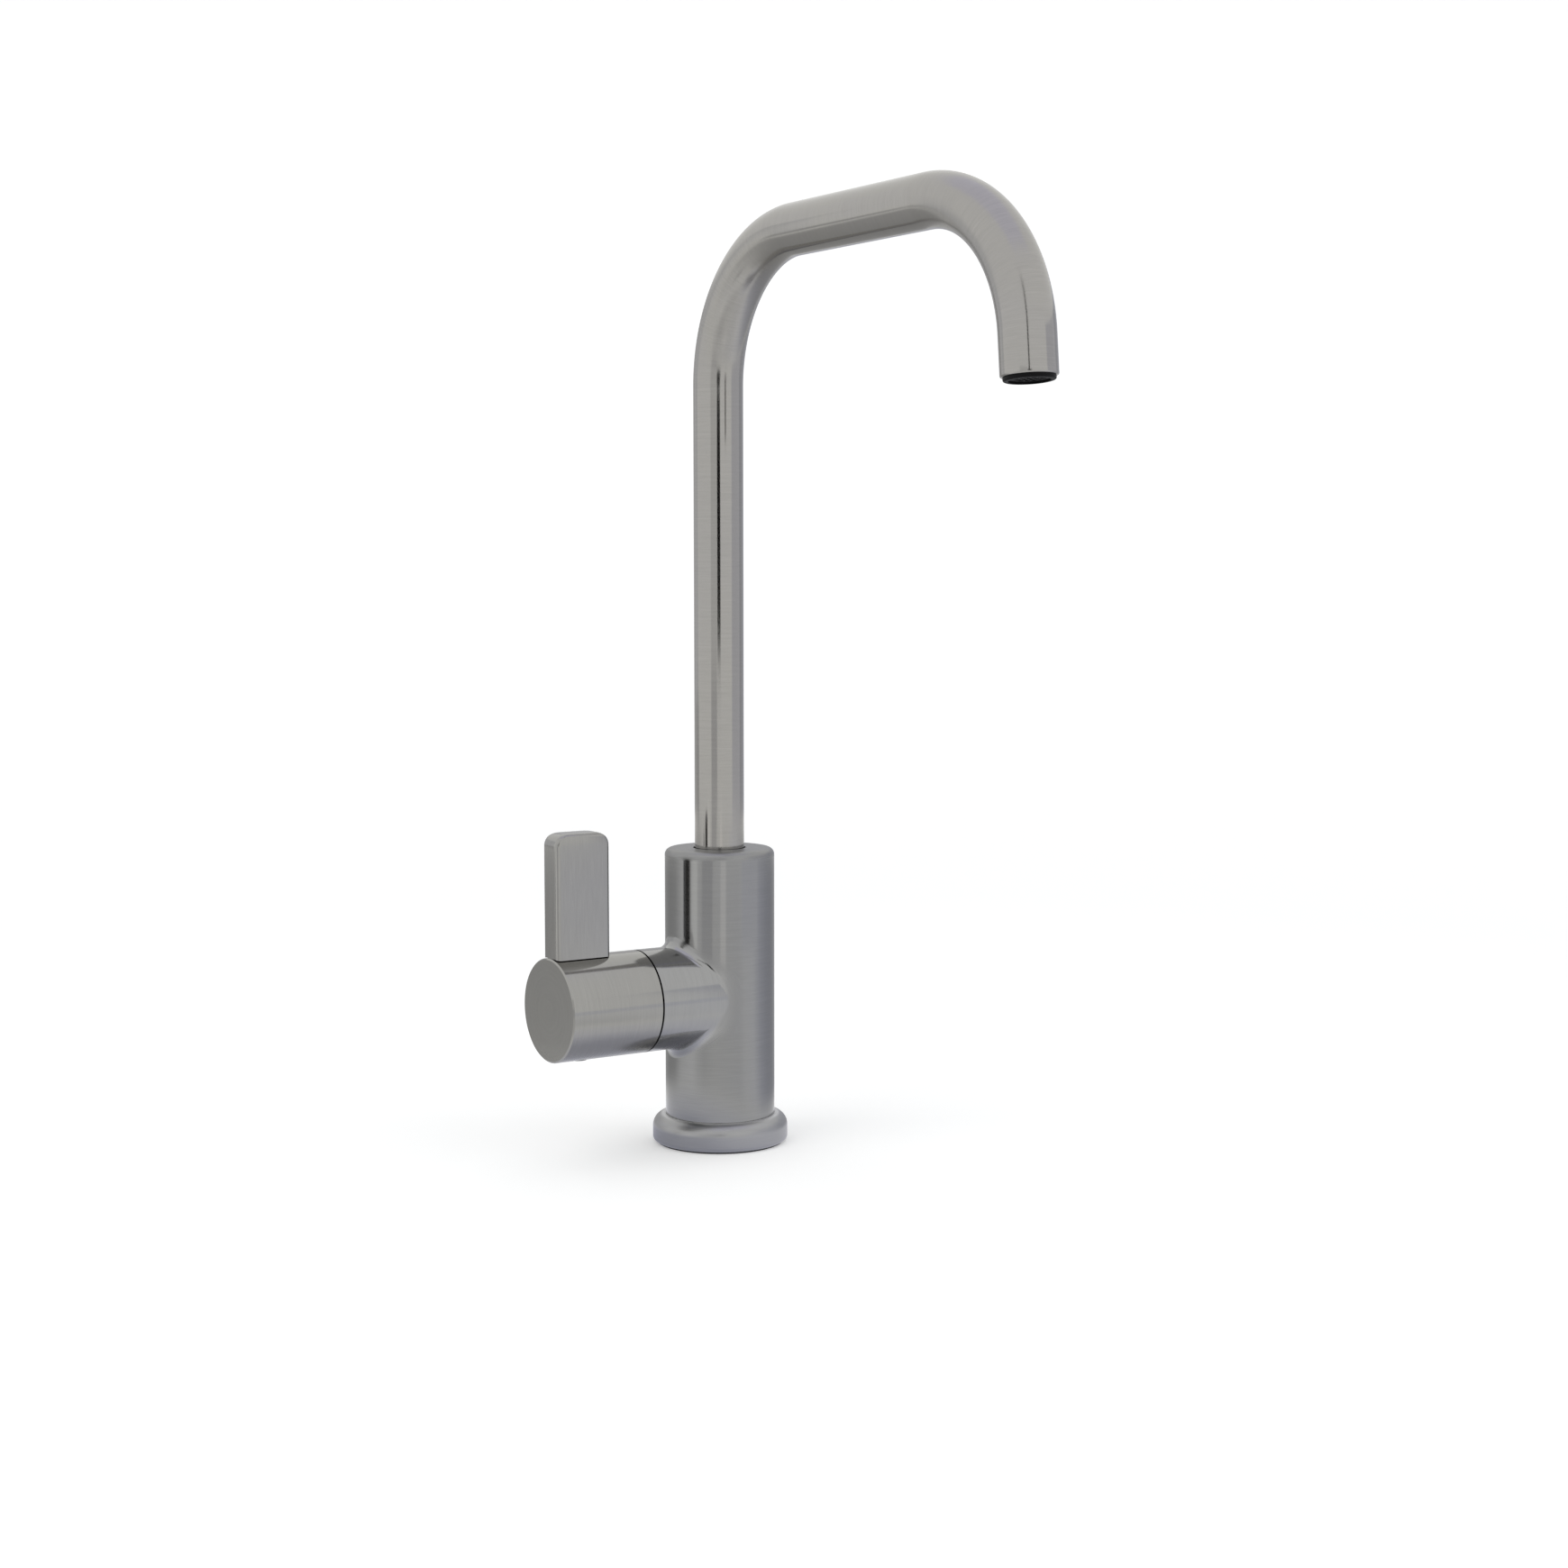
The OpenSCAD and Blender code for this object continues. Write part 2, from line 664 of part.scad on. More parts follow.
// Plug that covers the grub screw's hole
module screw_plug() {
    color(black_plastic) translate([-lever_mid, 0, barrel_z - barrel_r + seat_gap])
        cylinder(h = plug_len - seat_gap, r = plug_r);
}

// Dark ring that fills the gap between the boss and the barrel and centres the barrel
module glide_ring() {
    color(black_plastic) {
        on_barrel(boss_reach) ring(glide_r, glide_in_r, glide_t);
        on_barrel(boss_reach - glide_sleeve) ring(glide_out_r, glide_in_r, 2 * glide_sleeve);
    }
}

// Brass housing of the quarter-turn cartridge
module cartridge_housing() {
    color(raw_brass) difference() {
        union() {
            on_barrel(nose_at) cylinder(h = nose_end - nose_at, r = nose_r);
            on_barrel(nose_end) cylinder(h = boss_reach - nose_end, r = thread_r);
            on_barrel(boss_reach) cylinder(h = hexagon_t, r = hexagon_d / 2, $fn = 6);
            on_barrel(neck_at) cylinder(h = neck_len, r = neck_r);
        }
        on_barrel(nose_at - over) cylinder(h = room_end - nose_at + over, r = disc_room_r);
        on_barrel(room_end - over) cylinder(h = neck_end - room_end + 2 * over, r = journal_r + running_gap);
        on_barrel(side_port_at) for (turn = [0, 90])
            rotate([90, 0, turn]) translate([0, 0, -nose_r - over])
                cylinder(h = 2 * (nose_r + over), r = side_port_d / 2);
        on_barrel(housing_ring_at - small_slot / 2)
            ring(nose_r + over, nose_r - small_section, small_slot);
        on_barrel(neck_end - notch_depth) linear_extrude(height = notch_depth + over)
            rotate([0, 0, -handle_turn / 2]) notch_plan();
    }
}

// Notch that lets the stop lug make its turn and no more
module notch_plan() {
    half = (handle_turn + stop_lug) / 2 + 1;
    intersection() {
        circle(r = neck_r + over);
        union() {
            rotate([0, 0, half / 2]) slice(neck_r + 2 * over, half);
            rotate([0, 0, -half / 2]) slice(neck_r + 2 * over, half);
        }
    }
}

// Spindle with the bar that turns the moving disc at its inner end
module cartridge_spindle() {
    color(raw_brass) difference() {
        union() {
            on_barrel(drive_at) intersection() {
                cylinder(h = drive_end - drive_at, r = disc_r - seat_gap);
                translate([-disc_r, -drive_w / 2, 0]) cube([2 * disc_r, drive_w, drive_end - drive_at]);
            }
            on_barrel(drive_end) cylinder(h = journal_end - drive_end, r = journal_r);
            on_barrel(journal_end) cylinder(h = spindle_end - journal_end, r = spindle_r);
        }
        on_barrel(spindle_ring_at - small_slot / 2)
            ring(journal_r + over, journal_r - small_section + running_gap, small_slot);
        on_barrel(clip_at) ring(journal_r + over, clip_in_r, clip_t + seat_gap);
    }
}

// Ring on the spindle whose lug meets the ends of the neck's notch
module stop_ring() {
    lug_at = neck_end - notch_depth + free_gap;
    lug_len = stop_at - lug_at;
    color(steel_screw) on_barrel(lug_at) difference() {
        ring(neck_r - seat_gap, journal_r + seat_gap, lug_len + stop_t);
        translate([0, 0, -over]) linear_extrude(height = lug_len + over) difference() {
            circle(r = neck_r + over);
            slice(neck_r + 2 * over, stop_lug);
        }
    }
}

// Open clip that keeps the spindle in the housing
module circlip() {
    clip_r = journal_r + clip_t;
    color(steel_screw) on_barrel(clip_at) difference() {
        ring(clip_r, clip_in_r + seat_gap, clip_t);
        translate([0, -clip_t, -over]) cube([clip_r + over, 2 * clip_t, clip_t + 2 * over]);
    }
}

// Plan of a ceramic disc with its two windows on +X and -X
module disc_plan() {
    difference() {
        circle(r = disc_r);
        for (turn = [0, 180])
            rotate([0, 0, turn]) intersection() {
                slice(disc_r, window_angle);
                difference() {
                    circle(r = window_out);
                    circle(r = window_in);
                }
            }
    }
}

// Ceramic disc that stands still on the seat seal
module fixed_disc() {
    color(pale_ceramic) on_barrel(fixed_at) linear_extrude(height = disc_t) disc_plan();
}

// Ceramic disc that turns with the spindle, shut while the lever is upright
module moving_disc() {
    color(pale_ceramic) on_barrel(moving_at) difference() {
        rotate([0, 0, 90]) linear_extrude(height = disc_t) disc_plan();
        translate([-disc_r - over, -drive_w / 2 - seat_gap, disc_t - drive_slot])
            cube([2 * (disc_r + over), drive_w + 2 * seat_gap, drive_slot + over]);
    }
}

// Rubber ring between the valve seat and the fixed disc
module seat_seal() {
    color(black_rubber) on_barrel(seat_reach) ring(disc_r, passage_d / 2 + seat_gap, seal_t);
}

// O-ring between the housing's nose and the body
module housing_o_ring() {
    color(black_rubber) on_barrel(housing_ring_at) o_ring(nose_r - small_section + seat_gap / 2, small_section);
}

// O-ring between the spindle and the housing's neck
module spindle_o_ring() {
    color(black_rubber) on_barrel(spindle_ring_at)
        o_ring(journal_r - small_section + running_gap + seat_gap / 2, small_section - running_gap);
}

tap_body();
base_flange();
base_gasket();
spout_tube();
swivel_nipple();
spout_o_ring(0);  // spout_o_ring_1
spout_o_ring(1);  // spout_o_ring_2
guide_bush();
spout_retaining_screw();
inner_hose();
outlet_housing();
flow_straightener();
outlet_seal();
handle_hub();
lever_paddle();
lever_stud();
handle_grub_screw();
screw_plug();
glide_ring();
cartridge_housing();
cartridge_spindle();
stop_ring();
circlip();
moving_disc();
fixed_disc();
seat_seal();
housing_o_ring();
spindle_o_ring();
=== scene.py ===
# %% [markdown]
# # Boiling water tap in satin nickel
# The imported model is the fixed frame: every piece below is made in metres in its
# coordinates. The origin is on the body's axis at the worktop, +Z is up, the spout
# reaches towards -Y and the barrel with the lever points towards -X.

import math

import bpy
import numpy as np
from mathutils import Matrix


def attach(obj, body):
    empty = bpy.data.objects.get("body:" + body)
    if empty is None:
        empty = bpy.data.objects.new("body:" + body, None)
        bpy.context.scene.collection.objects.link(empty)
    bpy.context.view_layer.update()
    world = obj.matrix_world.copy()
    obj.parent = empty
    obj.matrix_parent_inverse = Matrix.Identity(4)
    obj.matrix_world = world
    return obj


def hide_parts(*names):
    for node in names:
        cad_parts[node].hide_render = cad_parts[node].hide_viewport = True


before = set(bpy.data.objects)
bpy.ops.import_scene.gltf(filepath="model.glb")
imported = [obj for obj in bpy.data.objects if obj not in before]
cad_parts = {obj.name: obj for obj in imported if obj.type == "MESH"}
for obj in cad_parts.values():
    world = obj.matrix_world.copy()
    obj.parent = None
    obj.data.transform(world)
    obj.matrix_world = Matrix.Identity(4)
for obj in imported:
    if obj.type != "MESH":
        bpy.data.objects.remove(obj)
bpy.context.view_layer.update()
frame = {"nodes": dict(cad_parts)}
nodes = frame["nodes"]
MM = 0.001

# %% [markdown]
# ## Camera
# The tap is seen a little from above and from its lever side, through a lens of
# 56 mm on a 36 mm sensor. The camera comes first, because the light and the
# panels that shape the reflections are placed from its direction.

# %% Camera
EYE = np.array([-0.471931, -0.753091, 0.206740])
PITCH = math.radians(4.834)
HEADING = math.radians(33.595)
ROLL = math.radians(-0.035)
SENSOR = 36.0
FOCAL = 56.1596

lens = bpy.data.cameras.new("view")
lens.sensor_fit = "HORIZONTAL"
lens.sensor_width = SENSOR
lens.lens = FOCAL
lens.clip_start = 10 * MM
eye = bpy.data.objects.new("view", lens)
eye.matrix_world = (Matrix.Translation(EYE) @ Matrix.Rotation(-HEADING, 4, "Z")
                    @ Matrix.Rotation(math.pi / 2 - PITCH, 4, "X")
                    @ Matrix.Rotation(ROLL, 4, "Z"))
bpy.context.scene.collection.objects.link(eye)
bpy.context.scene.camera = eye
EYE_BEARING = math.atan2(EYE[1], EYE[0])
print("camera bearing from the body's axis:", round(math.degrees(EYE_BEARING), 1))

# %% [markdown]
# ## Surfaces from arrays
# Each new piece is a stack of rings: a (rings, points, 3) array worked out by
# numpy in one go. Three helpers turn such a stack into a closed mesh: the first
# links the faces, the second closes a stack on itself, the third caps its ends.
# A fourth gives the angles round a ring.

# %% Ring stacks to meshes
SHARP = math.radians(35.0)


def add_piece(name, points, faces, uvs=None, fans=None):
    """Links a mesh object of quads and, at its poles, fans of triangles.

    Its signed volume is the sum of a . (b x c) / 6 over its triangles, and where
    that is negative all faces are turned over, so they point outwards.
    """
    fans = np.zeros((0, 3), int) if fans is None else fans
    thirds = np.concatenate([faces[:, [0, 1, 2]], faces[:, [0, 2, 3]], fans])
    a, b, c = points[thirds].transpose(1, 0, 2)
    if np.einsum("ij,ij->", a, np.cross(b, c)) < 0:
        faces, fans = faces[:, ::-1], fans[:, ::-1]
        uvs = None if uvs is None else uvs[:, ::-1]
    mesh = bpy.data.meshes.new(name)
    mesh.from_pydata(points.tolist(), [], faces.tolist() + fans.tolist())
    if uvs is not None:
        layer = mesh.uv_layers.new(name="run")
        layer.data.foreach_set("uv", uvs.reshape(-1))
    mesh.shade_smooth()
    mesh.set_sharp_from_angle(angle=SHARP)
    mesh.update()
    piece = bpy.data.objects.new(name, mesh)
    bpy.context.scene.collection.objects.link(piece)
    print(name, "faces:", len(mesh.polygons))
    return piece


def ring_stack(name, rings, along=None, around=None):
    """Closed skin whose last ring meets the first. rings is (m, n, 3).

    Corner (i, j) joins ring i, point j to the next ring and the next point, both
    counted round, so the mesh has neither seam nor hole. along (m + 1) and around
    (n + 1) give the UV of each ring and point in metres.
    """
    m, n = rings.shape[:2]
    i, j = np.meshgrid(np.arange(m), np.arange(n), indexing="ij")
    k, h = (i + 1) % m, (j + 1) % n
    faces = np.stack([i * n + j, k * n + j, k * n + h, i * n + h], -1).reshape(-1, 4)
    uvs = None
    if along is not None:
        uvs = np.stack([np.stack([along[i], around[j]], -1),
                        np.stack([along[i + 1], around[j]], -1),
                        np.stack([along[i + 1], around[j + 1]], -1),
                        np.stack([along[i], around[j + 1]], -1)], 2).reshape(-1, 4, 2)
    return add_piece(name, rings.reshape(-1, 3), faces, uvs)


def capped_stack(name, rings):
    """Closed skin whose first and last rings are each closed on their own middle point."""
    m, n = rings.shape[:2]
    i, j = np.meshgrid(np.arange(m - 1), np.arange(n), indexing="ij")
    h = (j + 1) % n
    faces = np.stack([i * n + j, (i + 1) * n + j, (i + 1) * n + h, i * n + h], -1)
    points = np.concatenate([rings.reshape(-1, 3), rings[[0, -1]].mean(1)])
    j, h, last = np.arange(n), (np.arange(n) + 1) % n, (m - 1) * n
    fans = np.concatenate([np.stack([j, h, np.full(n, m * n)], -1),
                           np.stack([last + h, last + j, np.full(n, m * n + 1)], -1)])
    return add_piece(name, points, faces.reshape(-1, 4), fans=fans)


def circle(steps):
    """Angles of that many points evenly round a circle, the first at zero."""
    return np.linspace(0, 2 * math.pi, steps + 1)[:-1]


print("edges sharper than", round(math.degrees(SHARP)), "degrees stay crisp")

# %% [markdown]
# ## Spout tube
# The real spout is one drawn tube, bent twice and brushed. A curve with a bevel
# could draw it, but without an inner wall or a UV in metres. A profile carried
# along its centre line has both, with its rings at right angles to the run even
# round the bends, and the brushing can follow the UV. The CAD solid stays behind
# it for contact.

# %% Spout tube
TUBE_R = 9.0 * MM
TUBE_IN_R = 7.8 * MM
LIP_R = 0.6 * MM
FOOT_Z = 89.0 * MM
BEND_R = 50.0 * MM
TOP_Z = 325.0 * MM
RUN_Y = 125.0 * MM
LEG = 12.7 * MM
SWEEP = math.radians(84.991)
BEND_Z = TOP_Z - BEND_R
STARTS = np.cumsum([0, BEND_Z - FOOT_Z, BEND_R * math.pi / 2, RUN_Y - BEND_R, BEND_R * SWEEP])
LENGTH = STARTS[-1] + LEG
OUTER_RINGS, LIP_RINGS, INNER_RINGS, TUBE_STEPS = 230, 6, 120, 96


def spout_line(s):
    """Centre and direction of the spout at the lengths s from its foot.

    Riser, quarter bend, level run, outlet bend and leg in turn, each a straight
    line or an arc in the YZ plane. Directions are unit vectors.
    """
    part = np.clip(np.searchsorted(STARTS, s, side="right") - 1, 0, 4)
    t = s - STARTS[part]
    a = t / BEND_R
    cos_end, sin_end = math.cos(SWEEP), math.sin(SWEEP)
    y = np.choose(part, [0 * t, -BEND_R * (1 - np.cos(a)), -BEND_R - t,
                         -RUN_Y - BEND_R * np.sin(a), -RUN_Y - BEND_R * sin_end - t * cos_end])
    z = np.choose(part, [FOOT_Z + t, BEND_Z + BEND_R * np.sin(a), TOP_Z + 0 * t,
                         BEND_Z + BEND_R * np.cos(a), BEND_Z + BEND_R * cos_end - t * sin_end])
    dy = np.choose(part, [0 * t, -np.sin(a), -1 + 0 * t, -np.cos(a), -cos_end + 0 * t])
    dz = np.choose(part, [1 + 0 * t, np.cos(a), 0 * t, -np.sin(a), -sin_end + 0 * t])
    return y, z, dy, dz


def spout_rings(s, r, around):
    """Rings of radius r at the lengths s: centre + r (cos a X + sin a N), N square to the run."""
    y, z, dy, dz = spout_line(s)
    across, up = r[:, None] * np.cos(around), r[:, None] * np.sin(around)
    return np.stack([across, y[:, None] + up * dz[:, None], z[:, None] - up * dy[:, None]], -1)


lip = np.linspace(0, math.pi / 2, LIP_RINGS + 1)[1:]
spout_s = np.concatenate([np.linspace(0, LENGTH - LIP_R, OUTER_RINGS),
                          LENGTH - LIP_R + LIP_R * np.sin(lip),
                          np.linspace(LENGTH, 0, INNER_RINGS)])
spout_r = np.concatenate([np.full(OUTER_RINGS, TUBE_R), TUBE_R - LIP_R + LIP_R * np.cos(lip),
                          np.full(INNER_RINGS, TUBE_IN_R)])
spout_tube = ring_stack("spout_tube_skin", spout_rings(spout_s, spout_r, circle(TUBE_STEPS)),
                        np.append(spout_s, 0),
                        np.linspace(0, 2 * math.pi, TUBE_STEPS + 1) * TUBE_R)
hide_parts("spout_tube")
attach(spout_tube, "spout")
print("spout length:", round(LENGTH / MM, 1), "mm")

# %% [markdown]
# ## Fillet between body and boss
# The boss runs into the round body with a soft hollow, as a casting does. A bevel
# on the solid's own corner would have to change the CAD mesh. A ball that rolls
# along both cylinders traces the same hollow: at each angle round the boss its
# centre is one ball radius off both, and the arc between its two contact points
# is the skin. The solid has a sharp corner there, so the band lies over it.

# %% Boss fillet
BODY_R = 20.0 * MM
BARREL_R = 18.5 * MM
BARREL_Z = 55.0 * MM
FILLET_R = 4.0 * MM
FILLET_BACK = 1.5 * MM
SINK = 0.02 * MM
SINK_POWER = 6
FILLET_STEPS, ARC_STEPS = 160, 25


def rolling_fillet(turn, arc):
    """Rings of the band: for each angle in turn, the arc from the boss to the body.

    The ball's centre is at y = (boss + ball) cos a, z above the axis (boss + ball)
    sin a, and x where it is (body + ball) from the body's axis. Directions to the
    two contacts are blended on the sphere, and both edges sink a hair. Two more
    points behind close each ring.
    """
    cy = (BARREL_R + FILLET_R) * np.cos(turn)
    cz = (BARREL_R + FILLET_R) * np.sin(turn)
    cx = -np.sqrt((BODY_R + FILLET_R) ** 2 - cy ** 2)
    centre = np.stack([cx, cy, BARREL_Z + cz], -1)
    to_boss = np.stack([0 * cx, -np.cos(turn), -np.sin(turn)], -1)
    to_body = np.stack([-cx, -cy, 0 * cx], -1) / (BODY_R + FILLET_R)
    span = np.arccos(np.clip((to_boss * to_body).sum(-1), -1, 1))[:, None, None]
    a = to_boss[:, None] * np.sin((1 - arc)[None, :, None] * span)
    b = to_body[:, None] * np.sin(arc[None, :, None] * span)
    way = (a + b) / np.sin(span)
    edge = SINK * np.abs(2 * arc - 1) ** SINK_POWER
    skin = centre[:, None] + way * (FILLET_R + edge)[None, :, None]
    behind = centre[:, None] + way[:, [-1, 0]] * (FILLET_R + FILLET_BACK)
    return np.concatenate([skin, behind], 1)


band = rolling_fillet(circle(FILLET_STEPS), np.linspace(0, 1, ARC_STEPS))
boss_fillet = ring_stack("boss_fillet", band)
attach(boss_fillet, "base")

# %% [markdown]
# ## Lever
# The lever is a flat bar stood on the barrel, with soft edges and round upper
# corners that a brushing wheel has run over. Its level outline is a rounded
# rectangle that shrinks towards the top, a little faster along the barrel than
# across it, and its foot follows the barrel with a hair of room. A bevelled box
# would round every edge alike, so the outlines are stacked instead.

# %% Lever
LEVER_MID = -59.35 * MM
LEVER_HALF = np.array([10.75, 5.15]) * MM
LEVER_LOW = 73.9 * MM
LEVER_TOP = 117.5 * MM
LEVER_FOOT_R = 18.8 * MM
CORNER_R = 4.5 * MM
EDGE_R = 1.7 * MM
CROWN = 0.35 * MM
CROWN_DEPTH = 8 * MM
LEVER_RINGS, CORNER_RINGS, CORNER_STEPS = 24, 14, 9
CORNER_LIMIT = 0.98
CLOSING = np.array([0.08, 0.4, 0.75, 0.93, 0.985])


def shrink(z, r):
    """How far a rounding of radius r is in at the height z: r - sqrt(r^2 - (z - top + r)^2)."""
    over = np.clip(z - (LEVER_TOP - r), 0, r)
    return r - np.sqrt(r * r - over * over)


def rounded_rectangle(half_x, half_y, r, steps):
    """Outlines (rings, 4 steps, 2): each corner is an arc of radius r about its own centre."""
    a = np.linspace(0, math.pi / 2, steps)[None, :] + np.arange(4)[:, None] * math.pi / 2
    sx = np.sign(np.cos(a.mean(1)))[None, :, None]
    sy = np.sign(np.sin(a.mean(1)))[None, :, None]
    x = sx * (half_x - r)[:, None, None] + r[:, None, None] * np.cos(a)[None]
    y = sy * (half_y - r)[:, None, None] + r[:, None, None] * np.sin(a)[None]
    return np.stack([x, y], -1).reshape(half_x.size, -1, 2)


def lever_rings():
    """Rings from the middle of the foot, out to its edge, up the sides and in over the top.

    The foot lies at sqrt(R^2 - y^2) above the barrel's axis. Near the top each
    point drops by the crown times (x / half width)^2, so that the top is domed.
    """
    bend = np.linspace(0, math.pi / 2, CORNER_RINGS)
    rise = np.concatenate([np.linspace(LEVER_LOW, LEVER_TOP - CORNER_R, LEVER_RINGS)[:-1],
                           LEVER_TOP - CORNER_R + CORNER_R * np.sin(bend)])
    half_x = LEVER_HALF[0] - shrink(rise, CORNER_R)
    half_y = LEVER_HALF[1] - shrink(rise, EDGE_R)
    corner = np.minimum(EDGE_R, half_y * CORNER_LIMIT)
    side = rounded_rectangle(half_x, half_y, corner, CORNER_STEPS)
    foot = side[0] * np.append(CLOSING, 1)[:, None, None]
    top = side[-1] * CLOSING[::-1, None, None]
    flat = np.concatenate([foot, side, top])
    z = np.concatenate([np.zeros(len(foot)), rise, np.full(len(top), LEVER_TOP)])
    z = np.broadcast_to(z[:, None], flat.shape[:2]).copy()
    z[:len(foot)] = BARREL_Z + np.sqrt(LEVER_FOOT_R ** 2 - foot[..., 1] ** 2)
    fade = np.clip((z - LEVER_TOP) / CROWN_DEPTH + 1, 0, 1) ** 2
    z -= CROWN * fade * (flat[..., 0] / LEVER_HALF[0]) ** 2
    return np.stack([flat[..., 0] + LEVER_MID, flat[..., 1], z], -1)


lever_bar = capped_stack("lever_bar", lever_rings())
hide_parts("lever_paddle")
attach(lever_bar, "handle")

# %% [markdown]
# ## Ring in the gap
# Between boss and barrel a black ring of slippery plastic fills the gap and shows
# as a fine line. It is a turned part, so a half section carried round the barrel's
# axis makes it. Its rim is a bead that stays just under the metal, which a plain
# ring with a square rim would not give.

# %% Gap ring
BOSS_REACH = 34.5 * MM
GAP = 0.7 * MM
GAP_ROOM = 0.02 * MM
RING_R = 18.0 * MM
RING_OUT = 15.45 * MM
RING_IN = 14.45 * MM
SLEEVE = 3.0 * MM
RING_STEPS, BEAD_STEPS = 144, 9


def ring_section():
    """Half section as (distance from the boss's face, radius): sleeve, bead, sleeve, bore."""
    bend = np.linspace(math.pi, 0, BEAD_STEPS)
    half = GAP / 2 - GAP_ROOM
    bead = np.stack([GAP / 2 + half * np.cos(bend), RING_R - half + half * np.sin(bend)], -1)
    foot = np.array([[-SLEEVE, RING_IN], [-SLEEVE, RING_OUT], [bead[0, 0], RING_OUT]])
    back = np.array([[bead[-1, 0], RING_OUT], [SLEEVE, RING_OUT], [SLEEVE, RING_IN]])
    return np.concatenate([foot, bead, back])


def turn_about_barrel(section, turn):
    """Rings of a half section at the angles turn: (x, r cos a, axis height + r sin a)."""
    reach, r = section.T
    return np.stack([np.broadcast_to(-BOSS_REACH - reach, (turn.size, reach.size)),
                     r * np.cos(turn)[:, None],
                     BARREL_Z + r * np.sin(turn)[:, None]], -1)


gap_ring = ring_stack("gap_ring", turn_about_barrel(ring_section(), circle(RING_STEPS)))
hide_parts("glide_ring")
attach(gap_ring, "base")

# %% [markdown]
# ## Shader arithmetic
# A pattern reads best as a formula. One class wraps a socket, and + - * / ** on it
# add Math nodes, so a mask can be written as 1 - mask. Another holds the tree and
# adds every other node by its type, its settings and the values of its sockets.

# %% Wires and trees
class Wire:
    """One output socket of a shader tree."""

    def __init__(self, tree, socket):
        self.tree, self.socket = tree, socket

    def __add__(self, other):
        return self.tree.math("ADD", self, other)

    def __sub__(self, other):
        return self.tree.math("SUBTRACT", self, other)

    def __rsub__(self, other):
        return self.tree.math("SUBTRACT", other, self)

    def __mul__(self, other):
        return self.tree.math("MULTIPLY", self, other)

    def __truediv__(self, other):
        return self.tree.math("DIVIDE", self, other)

    def __pow__(self, other):
        return self.tree.math("POWER", self, other)

    __radd__ = __add__
    __rmul__ = __mul__


class Tree:
    """A node tree that is filled by add(type, settings, values)."""

    def __init__(self, owner):
        owner.use_nodes = True
        self.nodes, self.links = owner.node_tree.nodes, owner.node_tree.links
        self.nodes.clear()

    def add(self, kind, settings=None, values=None, out=0):
        """Adds a node, sets it, then links or fills its sockets. Returns its output as a wire."""
        node = self.nodes.new(kind)
        for key, value in (settings or {}).items():
            if key == "stops":
                ramp = node.color_ramp
                while len(ramp.elements) < len(value):
                    ramp.elements.new(0.5)
                for stop, (at, colour) in zip(ramp.elements, value):
                    stop.position, stop.color = at, (*colour, 1)
            else:
                setattr(node, key, value)
        for key, value in (values or {}).items():
            if isinstance(value, Wire):
                self.links.new(value.socket, node.inputs[key])
            else:
                node.inputs[key].default_value = value
        return Wire(self, node.outputs[out]) if node.outputs else None

    def math(self, operation, *values):
        """A Math node on wires or numbers."""
        return self.add("ShaderNodeMath", {"operation": operation}, dict(enumerate(values)))

    def mix(self, factor, a, b, blend="MIX"):
        """Colour that goes from a to b as the factor goes from 0 to 1."""
        return self.add("ShaderNodeMix", {"data_type": "RGBA", "blend_type": blend},
                        {0: factor, 6: a, 7: b}, out=2)

    def rise(self, value, start, end, low=0.0, high=1.0, curve="SMOOTHSTEP"):
        """Goes from low to high while the value goes from start to end, and stays there."""
        return self.add("ShaderNodeMapRange", {"interpolation_type": curve}, {
            0: value, "From Min": start, "From Max": end, "To Min": low, "To Max": high})

    def outputs(self, kind, names, values=None):
        """Several outputs of one node, by name or number, as wires."""
        node = self.add(kind, values=values).socket.node
        return [Wire(self, node.outputs[name]) for name in names]

    def place(self):
        """The three Object coordinates as wires."""
        spot = self.add("ShaderNodeTexCoord", out=3)
        return self.outputs("ShaderNodeSeparateXYZ", range(3), {0: spot})

    def join(self, x, y, z):
        """Three wires as one vector."""
        return self.add("ShaderNodeCombineXYZ", values={0: x, 1: y, 2: z})

    def noise(self, x, y, z, detail=2.0, rough=0.5):
        """Noise from 0 to 1 about 0.5, with one lump per unit of the three coordinates."""
        return self.add("ShaderNodeTexNoise", values={
            "Vector": self.join(x, y, z), "Scale": 1.0, "Detail": detail, "Roughness": rough})


def rgb(level):
    """A colour given as 0-255 sRGB, as an array of linear light."""
    c = np.array(level) / 255
    return np.where(c <= 0.04045, c / 12.92, ((c + 0.055) / 1.055) ** 2.4)


def full(colour):
    """Three numbers as a colour that a socket takes, with alpha 1."""
    return (*np.asarray(colour).tolist(), 1.0)


def two_tones(level, spread, painted_lift=1.0):
    """The colour, made lighter by a factor where light is painted, and darker and lighter by the
    spread.
    """
    return [full(rgb(level) * painted_lift * share) for share in (1 - spread, 1 + spread)]


print("mid grey in linear light:", round(float(rgb((128, 128, 128))[0]), 3))

# %% [markdown]
# ## Lay of the brushing
# A brush leaves its scratches along its own path: round a turned piece, up and down
# the lever, round the spout at every length of its run. An image could show them,
# but coordinates do it without one. Each lay gives a length across the scratches
# and two along them. Height plus radius serves as the length across on a turned
# piece, because it follows both its side and its faces.

# %% Lays
BOSS_R = (BARREL_R + FILLET_R, BARREL_R + 0.4 * MM)
BOSS_X = (-3.0 * MM, -10.0 * MM)
LEVER_DRIFT = 0.2
TUBE_DRIFT = 0.5


def radius(a, b):
    """Distance from an axis: sqrt(a^2 + b^2)."""
    return (a * a + b * b) ** 0.5


def boss_side(tree):
    """0 on the upright body, 1 on the boss: near the barrel's axis, on its side of the body."""
    x, y, z = tree.place()
    return tree.rise(radius(y, z - BARREL_Z), *BOSS_R) * tree.rise(x, *BOSS_X)


